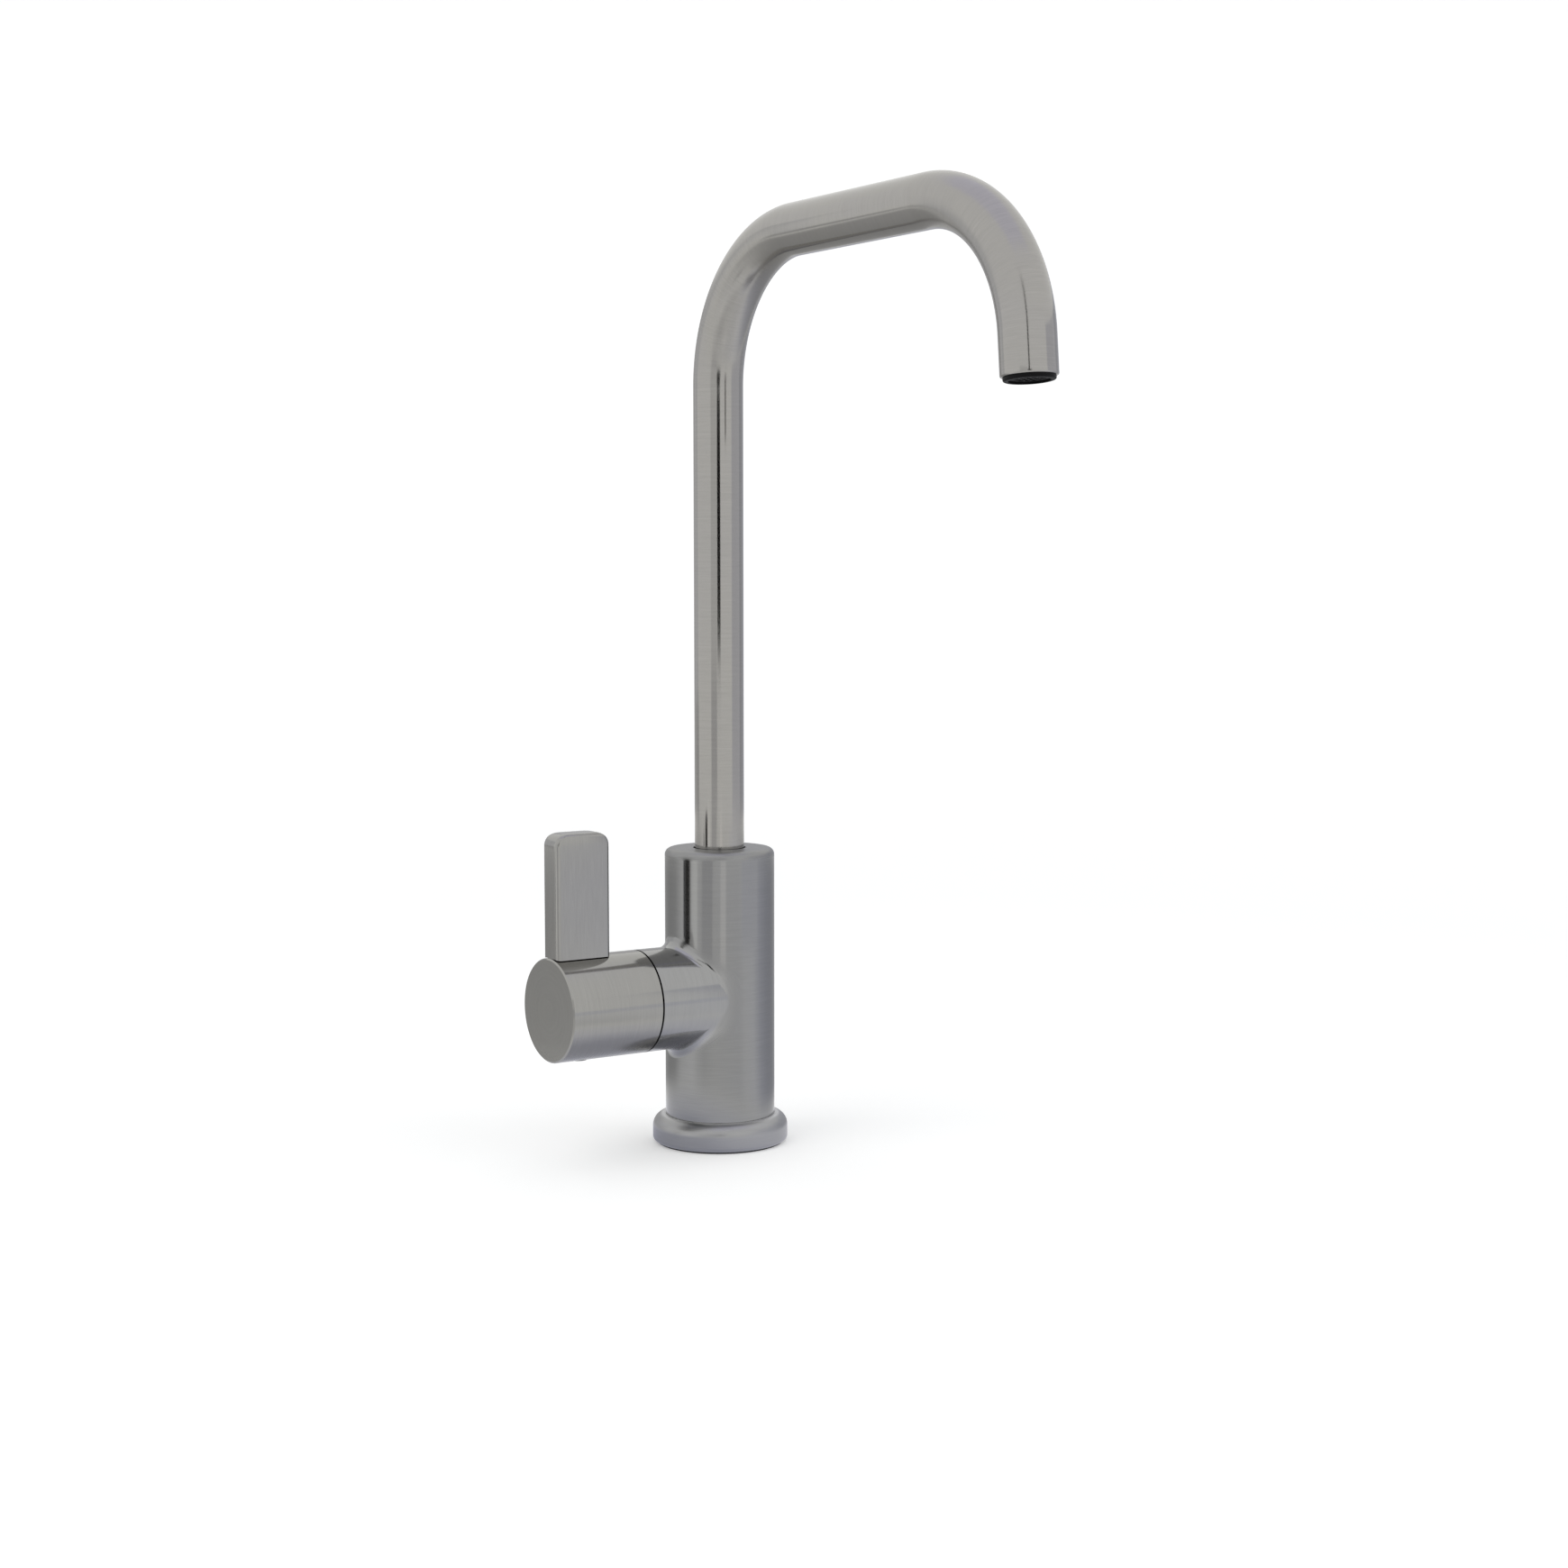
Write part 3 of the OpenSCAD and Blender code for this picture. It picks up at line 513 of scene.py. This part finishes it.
def lay_upright(tree):
    """Round the upright axis: across is z + r, along are x and y."""
    x, y, z = tree.place()
    return z + radius(x, y), x, y


def lay_barrel(tree):
    """Round the barrel's axis: across is x + r, along are y and the height above the axis."""
    x, y, z = tree.place()
    up = z - BARREL_Z
    return x + radius(y, up), y, up


def lay_body(tree):
    """Round the upright axis on the body, and on the boss round the barrel's axis."""
    x, y, z = tree.place()
    boss = boss_side(tree)
    up = z - BARREL_Z
    across = (z + radius(x, y)) * (1 - boss) + (x + radius(y, up)) * boss
    return across, x * (1 - boss) + up * boss, y


def lay_lever(tree):
    """Up and down the bar: across is x + y, along are z and a little of x."""
    x, y, z = tree.place()
    return x + y, z, x * LEVER_DRIFT


def lay_tube(tree):
    """Round the spout: across is the length along its run, along is the way round it."""
    run = tree.add("ShaderNodeUVMap", {"uv_map": "run"})
    length, round_it = tree.outputs("ShaderNodeSeparateXYZ", range(2), {0: run})
    return length, round_it, round_it * TUBE_DRIFT


print("the lay turns from body to boss at", [round(r / MM, 1) for r in BOSS_R], "mm")

# %% [markdown]
# ## Where the brush reaches less, and where light is painted
# A brushing wheel rounds off edges, skips hollows and lies lighter on bends, so the
# plate is duller there. The boss and the flange's top mirror other plate and come out
# dark, so their colour is painted lighter to make up for it: painted light. Painted
# weights would need a finer mesh on the CAD solids, so the masks are worked out from
# height, radius and length.

# %% Masks
# each pair is where a mask is 0 and where it is 1
RIM_Z = (105.2 * MM, 106.2 * MM)
UNDER_Z = (47.0 * MM, 40.0 * MM)
FLANGE_TOP_R = (22.4 * MM, 20.9 * MM)
# lengths along the spout's run in mm: dull from the second to the third
BEND_FADES = ((178, 205, 245, 272), (332, 358, 392, 414))
# how dull the fillet and the boss's lower side are, and what share of the painted light the rest of
# the boss gets
FILLET_DULL = 2.0
UNDER_DULL = 0.6
BOSS_PAINTED_LIGHT_SHARE = 0.3


def underside(tree):
    """1 on the lower side of barrel and boss, where the brush doesn't reach well; on the boss it
    also weights the painted light.
    """
    return tree.rise(tree.place()[2], *UNDER_Z)


def boss_painted_light(tree):
    """How much painted light the boss gets: a little on it, 1 on its lower side, less on the
    fillet.
    """
    boss = boss_side(tree)
    return boss * boss * (underside(tree) * (1 - BOSS_PAINTED_LIGHT_SHARE) + BOSS_PAINTED_LIGHT_SHARE)


def body_edges(tree):
    """1 on the body's round upper edge and top, less along the boss's fillet and under it."""
    rim = tree.rise(tree.place()[2], *RIM_Z, curve="LINEAR")
    boss = boss_side(tree)
    return rim + boss * (1 - boss) * FILLET_DULL + boss * underside(tree) * UNDER_DULL


def flange_flat(tree):
    """1 on the flange's flat top beside the body, 0 on its round edge: there the plate is duller
    and painted lighter.
    """
    x, y, z = tree.place()
    return tree.rise(radius(x, y), *FLANGE_TOP_R)


def spout_bends(tree):
    """1 round the two bends, by the length along the run, and 0 on the straight stretches."""
    length = lay_tube(tree)[0]
    first, second = [tree.rise(length, bend[0] * MM, bend[1] * MM)
                     - tree.rise(length, bend[2] * MM, bend[3] * MM) for bend in BEND_FADES]
    return first + second


print("bends are dull between", " and ".join(f"{b[0]}-{b[3]} mm" for b in BEND_FADES))

# %% [markdown]
# ## Satin nickel
# Every bright piece is brass, plated with nickel and brushed. An anisotropic shader
# could smear the reflections, but a model carried into other formats wouldn't keep it. Noise that
# is squeezed across the scratches and long along them gives colour, roughness and
# bump the same lay instead, and broad soft noise stands for handling.

# %% Satin nickel
FINE = 5200.0
COARSE = 900.0
ALONG = 90.0
HANDLING = 38.0
STREAK_SPREAD = 0.18
NICKEL_TINT = (0.965, 0.97, 1.05)
SCRATCH_DEPTH = 0.01 * MM
# shares of the fine and the coarse noise in colour, roughness and bump
STREAK_FINE, STREAK_COARSE = 0.6, 0.25
ROUGH_FINE, ROUGH_COARSE = 0.03, 0.04
BUMP_FINE, BUMP_COARSE = 0.6, 0.9
# handling tints the colour where its noise is over the first, and adds to the roughness
TOUCH_FROM, TOUCH_TINT, TOUCH_ROUGH = 0.35, 0.6, 0.05


def satin(name, level, lay, rough=0.11, tint=NICKEL_TINT, dull=None, more=0.0,
          painted_light_mask=None, painted_lift=1.0, uneven=1.0, scratch=0.18):
    """Brushed metal: level is its colour in sRGB, lay gives the coordinates of the brushing.

    Streaks run between two tones of the colour, and handling blends them with the
    colour times tint. Where the mask dull is 1 the metal is rougher by more. Where
    the mask for painted light is 1 the colour is painted lighter by its factor, in
    place of light the piece would mirror. uneven is how much the brushing
    varies the roughness, and scratch is the strength of its bump.
    """
    material = bpy.data.materials.new(name)
    tree = Tree(material)
    across, along_a, along_b = lay(tree)
    fine = tree.noise(across * FINE, along_a * ALONG, along_b * ALONG, detail=3.0, rough=0.6)
    coarse = tree.noise(across * COARSE, along_a * ALONG, along_b * ALONG)
    x, y, z = tree.place()
    touch = tree.noise(x * HANDLING, y * HANDLING, z * HANDLING, detail=3.0, rough=0.55)
    streak = (fine - 0.5) * STREAK_FINE + (coarse - 0.5) * STREAK_COARSE + 0.5
    colour = tree.mix(streak, *two_tones(level, STREAK_SPREAD))
    colour = tree.mix((touch - TOUCH_FROM) * TOUCH_TINT, colour, full(rgb(level) * tint))
    # painted light: the streaks' two tones are made lighter where the mask is 1, standing in for
    # light the plate would mirror
    if painted_light_mask is not None:
        pale = tree.mix(streak, *two_tones(level, STREAK_SPREAD, painted_lift))
        colour = tree.mix(painted_light_mask(tree), colour, pale)
    brushing = ((coarse - 0.5) * ROUGH_COARSE + (fine - 0.5) * ROUGH_FINE) * uneven
    roughness = brushing + (touch - 0.5) * TOUCH_ROUGH + rough
    if dull is not None:
        roughness = roughness + dull(tree) * more
    bump = tree.add("ShaderNodeBump", values={
        "Strength": scratch, "Distance": SCRATCH_DEPTH,
        "Height": fine * BUMP_FINE + coarse * BUMP_COARSE})
    shader = tree.add("ShaderNodeBsdfPrincipled", values={
        "Metallic": 1.0, "Base Color": colour, "Roughness": roughness, "Normal": bump})
    tree.add("ShaderNodeOutputMaterial", values={0: shader})
    return material


# one nickel plating set lighter or darker piece by piece to how bright each piece shows among its
# reflections: painted shade on the darker body, painted light on the lighter flange and spout, and
# the boss's lower side painted lighter still
nickel_body = satin("satin_nickel_body", (146, 146, 145), lay_body,
                    dull=body_edges, more=0.26, painted_light_mask=boss_painted_light, painted_lift=1.5)
# the flange's flat top is painted lighter by its mask: painted light in place of the light it would
# mirror
nickel_flange = satin("satin_nickel_flange", (160, 160, 160), lay_upright, 0.34,
                      dull=flange_flat, more=0.16, painted_light_mask=flange_flat, painted_lift=1.9)
nickel_spout = satin("satin_nickel_spout", (162, 160, 156), lay_tube,
                     dull=spout_bends, more=0.14, uneven=0.2, scratch=0.07)
nickel_barrel = satin("satin_nickel_barrel", (156, 155, 151), lay_barrel,
                      dull=underside, more=0.16)
nickel_lever = satin("satin_nickel_lever", (155, 154, 151), lay_lever, 0.16)
nickel = [nickel_body, nickel_flange, nickel_spout, nickel_barrel, nickel_lever]
print("satin nickel:", [material.name for material in nickel])

# %% [markdown]
# ## Rubber, plastic, brass, ceramic, steel and silicone
# The seals and the works inside are hidden in use, yet each is a real part with
# its own finish: moulded pieces have a fine even grain, turned brass has tool
# marks, the discs are lapped ceramic. One recipe with different grain covers the
# even ones, and the brass is the brushed recipe in another colour.

# %% Plain finishes
CLOUD = 90.0
GRAIN_STRENGTH = 0.3
# shares of speck and cloud in the colour and in the roughness
TONE_SPECK, TONE_CLOUD = 0.6, 0.4
PLAIN_SPECK, PLAIN_CLOUD = 0.1, 0.12
BRASS = (201, 170, 96)
BRASS_ROUGH = 0.26
BRASS_TINT = (1.04, 1.0, 0.92)


def plain(name, level, rough, grain, depth, metallic=0.0, spread=0.12, **fixed):
    """Even finish: noise of the size grain (per metre) varies colour, roughness and bump.

    depth is the bump's distance in mm, and fixed holds further sockets of the shader.
    """
    material = bpy.data.materials.new(name)
    tree = Tree(material)
    x, y, z = tree.place()
    speck = tree.noise(x * grain, y * grain, z * grain, detail=3.0, rough=0.6)
    cloud = tree.noise(x * CLOUD, y * CLOUD, z * CLOUD)
    colour = tree.mix(speck * TONE_SPECK + cloud * TONE_CLOUD, *two_tones(level, spread))
    roughness = (cloud - 0.5) * PLAIN_CLOUD + (speck - 0.5) * PLAIN_SPECK + rough
    bump = tree.add("ShaderNodeBump", values={
        "Strength": GRAIN_STRENGTH, "Distance": depth * MM, "Height": speck})
    shader = tree.add("ShaderNodeBsdfPrincipled", values={
        "Metallic": metallic, "Base Color": colour, "Roughness": roughness, "Normal": bump,
        **fixed})
    tree.add("ShaderNodeOutputMaterial", values={0: shader})
    return material


rubber = plain("black_rubber", (32, 32, 34), 0.62, 2600.0, 0.03)
black_plastic = plain("black_plastic", (22, 22, 25), 0.38, 3400.0, 0.01)
matt_plastic = plain("matt_black_plastic", (9, 9, 11), 0.45, 3000.0, 0.005, spread=0.2,
                     **{"Specular IOR Level": 0.12})
ceramic = plain("lapped_ceramic", (240, 237, 229), 0.2, 5200.0, 0.004, spread=0.02)
silicone = plain("clear_silicone", (214, 208, 192), 0.46, 700.0, 0.02, spread=0.05)
steel = plain("bright_steel", (178, 180, 184), 0.3, 4200.0, 0.006, 1.0, 0.08)
brass_upright = satin("turned_brass_nipple", BRASS, lay_upright, BRASS_ROUGH, BRASS_TINT)
brass_barrel = satin("turned_brass_cartridge", BRASS, lay_barrel, BRASS_ROUGH, BRASS_TINT)
others = [rubber, black_plastic, matt_plastic, ceramic, silicone, steel,
          brass_upright, brass_barrel]
print("other finishes:", [material.name for material in others])

# %% [markdown]
# ## Finishes on their pieces
# Each piece of the real tap has one finish all over. A CAD node keeps its mesh and
# place and takes the finish on its own material slots, and so does a new skin.

# %% Assign the finishes
def dress(piece, material):
    """Gives a piece one material in place of all that it has."""
    piece.data.materials.clear()
    piece.data.materials.append(material)


pieces = {**nodes, "spout_tube_skin": spout_tube, "boss_fillet": boss_fillet,
          "lever_bar": lever_bar, "gap_ring": gap_ring}
finishes = {
    nickel_body: ["tap_body", "boss_fillet"],
    nickel_flange: ["base_flange"],
    nickel_spout: ["spout_tube_skin"],
    nickel_barrel: ["handle_hub", "spout_tube"],
    nickel_lever: ["lever_paddle", "lever_bar"],
    rubber: ["base_gasket", "spout_o_ring_1", "spout_o_ring_2", "outlet_seal", "seat_seal",
             "housing_o_ring", "spindle_o_ring"],
    black_plastic: ["guide_bush", "screw_plug", "glide_ring"],
    matt_plastic: ["outlet_housing", "flow_straightener", "gap_ring"],
    ceramic: ["moving_disc", "fixed_disc"],
    silicone: ["inner_hose"],
    steel: ["spout_retaining_screw", "lever_stud", "handle_grub_screw", "circlip", "stop_ring"],
    brass_upright: ["swivel_nipple"],
    brass_barrel: ["cartridge_housing", "cartridge_spindle"],
}
for material, names in finishes.items():
    for name in names:
        dress(pieces[name], material)
print("pieces without a finish:", sorted(set(pieces) - set(sum(finishes.values(), []))))

# %% [markdown]
# ## Floor and background
# A plain white floor sweeps up into a white wall behind, as a roll of paper does in
# a studio, with no horizon. A level plane would show its edge, so the sheet turns
# up through a quarter circle.

# %% Backdrop sheet
CURVE_POINTS, FLOOR_POINTS, SIDE_POINTS = 30, 20, 9


def sweep(name, half, near, far, curve, top):
    """Level sheet that turns up through a quarter circle into a wall, turned to the camera.

    Its profile runs from near in front of the tap to far behind it, then along
    (far + curve sin a, curve (1 - cos a)), then straight up to top. half is half its width.
    """
    a = np.linspace(0, math.pi / 2, CURVE_POINTS)
    level = np.linspace(-near, far, FLOOR_POINTS)
    u = np.concatenate([level, far + curve * np.sin(a)[1:], [far + curve]])
    z = np.concatenate([0 * level, curve * (1 - np.cos(a))[1:], [top]])
    side = np.linspace(-half, half, SIDE_POINTS)
    back = np.array([math.sin(HEADING), math.cos(HEADING)])
    right = np.array([math.cos(HEADING), -math.sin(HEADING)])
    flat = u[:, None, None] * back + side[None, :, None] * right
    points = np.concatenate([flat, np.broadcast_to(z[:, None, None], (*flat.shape[:2], 1))], -1)
    m, n = points.shape[:2]
    i, j = np.meshgrid(np.arange(m - 1), np.arange(n - 1), indexing="ij")
    faces = np.stack([i * n + j, i * n + j + 1, (i + 1) * n + j + 1, (i + 1) * n + j], -1)
    mesh = bpy.data.meshes.new(name)
    mesh.from_pydata(points.reshape(-1, 3).tolist(), [], faces.reshape(-1, 4).tolist())
    mesh.shade_smooth()
    sheet = bpy.data.objects.new(name, mesh)
    bpy.context.scene.collection.objects.link(sheet)
    return sheet


backdrop = sweep("backdrop", half=4.0, near=3.0, far=2.2, curve=0.9, top=4.0)
print("backdrop faces:", len(backdrop.data.polygons))

# %% [markdown]
# ## Paper that metal sees in its own way
# The camera sees lit paper that keeps the tap's soft shadow, and a little glow takes
# its open areas to white. Polished metal close to a floor mirrors it, so what the
# floor looks like makes half of the tap's light and dark. For gloss alone the same
# sheet shines: in fans by bearing from the camera, as light and dark things in a
# room would lie round the tap, with a painted shadow close under it in place of the
# tap's own shadow, and even white far off. One sheet with two looks keeps the
# shadow and the reflections apart.

# %% White paper
PAPER = (0.86, 0.86, 0.86)
GLOW_REACH = (0.7, 2.4)
GLOW = (0.25, 0.46)
GLOW_TINT = (1.0, 0.98, 0.95)
FAR_WHITE = (1.0, 1.0, 0.985)
FAN_REACH = (0.8, 1.3)
# the painted shadow under the tap: where it gives way to the fans, the x of its middle, and its
# reach
CLOSE_REACH = (0.07, 0.14)
CLOSE_MID_X = -0.03
SHADE_REACH = 0.1

# bearing from the camera in degrees, level, and warmth: under 1 is cooler
FAN = [(-180, 0.42, 1.0), (-154, 0.42, 1.0), (-122, 0.50, 1.0), (-104, 0.59, 1.0),
       (-85, 0.90, 1.0), (-70, 0.97, 1.0), (-57, 1.00, 1.0), (-44, 0.87, 1.0), (-32, 0.79, 1.0),
       (-9, 0.87, 1.0), (38, 0.87, 0.99), (54, 0.96, 0.99), (72, 0.97, 0.98), (93, 0.73, 0.95),
       (111, 0.60, 0.95), (135, 0.48, 0.96), (180, 0.42, 1.0)]
# painted shadow that gloss sees under the tap: share of SHADE_REACH from the middle, and the colour
# there
SHADE = [(0.12, (0.52, 0.53, 0.61)), (0.27, (0.57, 0.58, 0.67)), (0.42, (0.74, 0.75, 0.84)),
         (0.55, (0.88, 0.885, 0.95)), (0.75, (0.93, 0.935, 0.98)), (1.0, (1.0, 1.0, 1.0))]


def fan(tree, x, y):
    """Light and dark by bearing: arctan2 of the place across and along the camera's direction.

    A stop of the level l and the warmth w has the colour (l w, l w^0.6, l / w^1.5).
    """
    ahead = x * math.cos(EYE_BEARING) + y * math.sin(EYE_BEARING)
    aside = y * math.cos(EYE_BEARING) - x * math.sin(EYE_BEARING)
    turn = tree.math("ARCTAN2", aside, ahead) / (2 * math.pi) + 0.5
    stops = [((bearing + 180) / 360, (level * warm, level * warm ** 0.6, level / warm ** 1.5))
             for bearing, level, warm in FAN]
    return tree.add("ShaderNodeValToRGB", {"stops": stops}, {0: turn})


def white_paper():
    """Lit paper for the camera and for soft light, and the floor that gloss sees."""
    material = bpy.data.materials.new("white_paper")
    tree = Tree(material)
    x, y, z = tree.place()
    reach = radius(x, y)
    lit = tree.add("ShaderNodeBsdfDiffuse", values={"Color": full(PAPER)})
    glow = tree.rise(reach, *GLOW_REACH, *GLOW, curve="LINEAR")
    glow = tree.mix(1.0, full(GLOW_TINT), tree.join(glow, glow, glow), "MULTIPLY")
    glow = tree.add("ShaderNodeEmission", values={"Color": glow, "Strength": 1.0})
    for_camera = tree.add("ShaderNodeAddShader", values={0: lit, 1: glow})
    # painted shadow for gloss: close under the tap the floor that metal mirrors is darker and
    # cooler
    under = radius(x - CLOSE_MID_X, y)
    shade = tree.add("ShaderNodeValToRGB", {"stops": SHADE}, {0: under * (1 / SHADE_REACH)})
    ground = tree.mix(tree.rise(reach, *FAN_REACH), fan(tree, x, y), full(FAR_WHITE))
    ground = tree.mix(tree.rise(under, *CLOSE_REACH), shade, ground)
    for_gloss = tree.add("ShaderNodeEmission", values={"Color": ground, "Strength": 1.0})
    is_camera, is_gloss = tree.outputs("ShaderNodeLightPath", ("Is Camera Ray", "Is Glossy Ray"))
    paper = tree.add("ShaderNodeMixShader", values={0: is_camera, 1: lit, 2: for_camera})
    paper = tree.add("ShaderNodeMixShader", values={0: is_gloss, 1: paper, 2: for_gloss})
    tree.add("ShaderNodeOutputMaterial", values={0: paper})
    return material


dress(backdrop, white_paper())
print("floor fans:", len(FAN), "shades close under the tap:", len(SHADE))

# %% [markdown]
# ## World
# The room's light falls on the tap from all round at a soft level, a little cool.
# What the camera, gloss and clear pieces see of the world is plain white.

# %% World
ROOM_LIGHT = (0.95, 0.975, 1.0)
ROOM_LEVEL = 0.62

world = bpy.data.worlds.new("studio")
bpy.context.scene.world = world
tree = Tree(world)
is_camera, is_gloss, is_through = tree.outputs(
    "ShaderNodeLightPath", ("Is Camera Ray", "Is Glossy Ray", "Is Transmission Ray"))
seen = tree.math("MAXIMUM", is_camera, tree.math("MAXIMUM", is_gloss, is_through))
room = tree.add("ShaderNodeBackground", values={"Color": full(ROOM_LIGHT), "Strength": ROOM_LEVEL})
white = tree.add("ShaderNodeBackground", values={"Color": full((1, 1, 1)), "Strength": 1.0})
blend = tree.add("ShaderNodeMixShader", values={0: seen, 1: room, 2: white})
tree.add("ShaderNodeOutputWorld", values={0: blend})
print("world level:", ROOM_LEVEL)

# %% [markdown]
# ## Lamps
# One broad soft lamp overhead on the left, a weaker one on the right and one above,
# all large, so the shadow under the barrel stays soft. Gloss doesn't see them,
# because the panels below shape what the metal mirrors.

# %% Lamps
AIM = np.array([0.0, -0.06, 0.12])


def lamp(name, bearing, distance, height, size, power, colour=(1, 1, 1)):
    """Square soft lamp at a bearing from the camera's direction, aimed at the middle of the tap."""
    data = bpy.data.lights.new(name, "AREA")
    data.shape, data.size, data.energy, data.color = "SQUARE", size, power, colour
    thing = bpy.data.objects.new(name, data)
    a = EYE_BEARING + math.radians(bearing)
    at = np.array([distance * math.cos(a), distance * math.sin(a), height])
    aim = AIM - at
    flat = math.hypot(aim[0], aim[1])
    thing.matrix_world = (Matrix.Translation(at)
                          @ Matrix.Rotation(math.atan2(aim[1], aim[0]) - math.pi / 2, 4, "Z")
                          @ Matrix.Rotation(math.pi / 2 + math.atan2(aim[2], flat), 4, "X"))
    bpy.context.scene.collection.objects.link(thing)
    thing.visible_glossy = False


# name, bearing in degrees, distance, height and size in metres, power in watts, colour
lamp("key", -55, 1.5, 1.7, 1.6, 11, (1.0, 0.985, 0.96))
lamp("fill", 60, 1.6, 1.5, 1.6, 6, (0.96, 0.98, 1.0))
lamp("top", 180, 0.5, 2.0, 2.0, 8)
print("lamps:", len(bpy.data.lights))

# %% [markdown]
# ## Reflection panels
# Metal shows its surroundings, so its light and dark bands are made as a
# photographer makes them: curved panels round the set and a card over it that only
# gloss sees. An image of a room could do it too, but panels can be named and moved
# one by one. Each stands at a bearing from the camera, between two heights, with
# its own level. The narrow black ones draw the fine dark lines on tube and body.

# %% Panels
ARC_POINTS = 25


def shining_card(name, points, faces, level):
    """Sheet that shines evenly at its level and is seen by gloss alone."""
    mesh = bpy.data.meshes.new(name)
    mesh.from_pydata(points.tolist(), [], faces.tolist())
    card = bpy.data.objects.new(name, mesh)
    bpy.context.scene.collection.objects.link(card)
    material = bpy.data.materials.new(name)
    tree = Tree(material)
    shine = tree.add("ShaderNodeEmission", values={"Color": full(level), "Strength": 1.0})
    tree.add("ShaderNodeOutputMaterial", values={0: shine})
    dress(card, material)
    card.visible_camera = card.visible_diffuse = card.visible_shadow = False
    card.visible_transmission = False


def panel(name, start, end, distance, low, high, level):
    """Upright arc at a distance, from one bearing to another, between two heights."""
    a = EYE_BEARING + np.radians(np.linspace(start, end, ARC_POINTS))
    ring = np.stack([distance * np.cos(a), distance * np.sin(a)], -1)
    points = np.concatenate([np.column_stack([ring, np.full(a.size, z)]) for z in (low, high)])
    i = np.arange(a.size - 1)
    faces = np.stack([i, i + 1, i + 1 + a.size, i + a.size], -1)
    shining_card(name, points, faces, level)


def overhead(name, west, east, south, north, z, level):
    """Level card above the set."""
    points = np.array([[west, south, z], [east, south, z], [east, north, z], [west, north, z]])
    shining_card(name, points, np.array([[0, 1, 2, 3]]), level)


# name, first and last bearing in degrees, distance and heights in metres, colour
PANELS = [
    ("far_left_low", -180, -108, 1.25, 0.0, 0.10, (0.60, 0.60, 0.60)),
    ("far_left_high", -180, -112, 1.25, 0.10, 0.60, (0.785, 0.79, 0.81)),
    ("left_of_camera_low", -36, -9, 1.25, 0.0, 0.12, (0.66, 0.66, 0.67)),
    ("left_of_camera_high", -36, -9, 1.25, 0.12, 0.44, (0.82, 0.82, 0.82)),
    ("far_left_edge", -180, -138, 1.24, 0.10, 0.60, (0.60, 0.60, 0.61)),
    ("at_camera", -6.5, 8, 1.05, 0.15, 0.36, (0.0, 0.0, 0.0)),
    ("above_camera", -2.2, 1.2, 1.05, 0.36, 1.05, (0.0, 0.0, 0.0)),
    ("right", 63, 112, 1.25, 0.0, 0.60, (0.76, 0.765, 0.82)),
    ("back_right", 112, 180, 1.25, 0.0, 0.60, (0.56, 0.57, 0.62)),
    ("low_right", 46, 84, 0.50, 0.0, 0.06, (0.86, 0.87, 0.93)),
    ("low_black", -79, -74, 0.30, 0.0, 0.082, (0.09, 0.09, 0.10)),
    ("low_light_left", -57, -46, 0.42, 0.0, 0.08, (1.12, 1.12, 1.1)),
    ("low_dark_left", -36, -14, 0.42, 0.0, 0.08, (0.70, 0.70, 0.71)),
    ("low_light_front", 2, 13, 0.42, 0.0, 0.08, (1.08, 1.07, 1.06)),
]
for row in PANELS:
    panel(*row)
overhead("sky_card", -0.85, 1.05, -1.15, 1.15, 2.2, (0.92, 0.915, 1.04))
print("panels:", len(PANELS), "and one card overhead")

# %% [markdown]
# ## View transform
# The picture uses the plain view transform, so colours show as they are written.

# %% View transform
bpy.context.scene.view_settings.view_transform = "Standard"
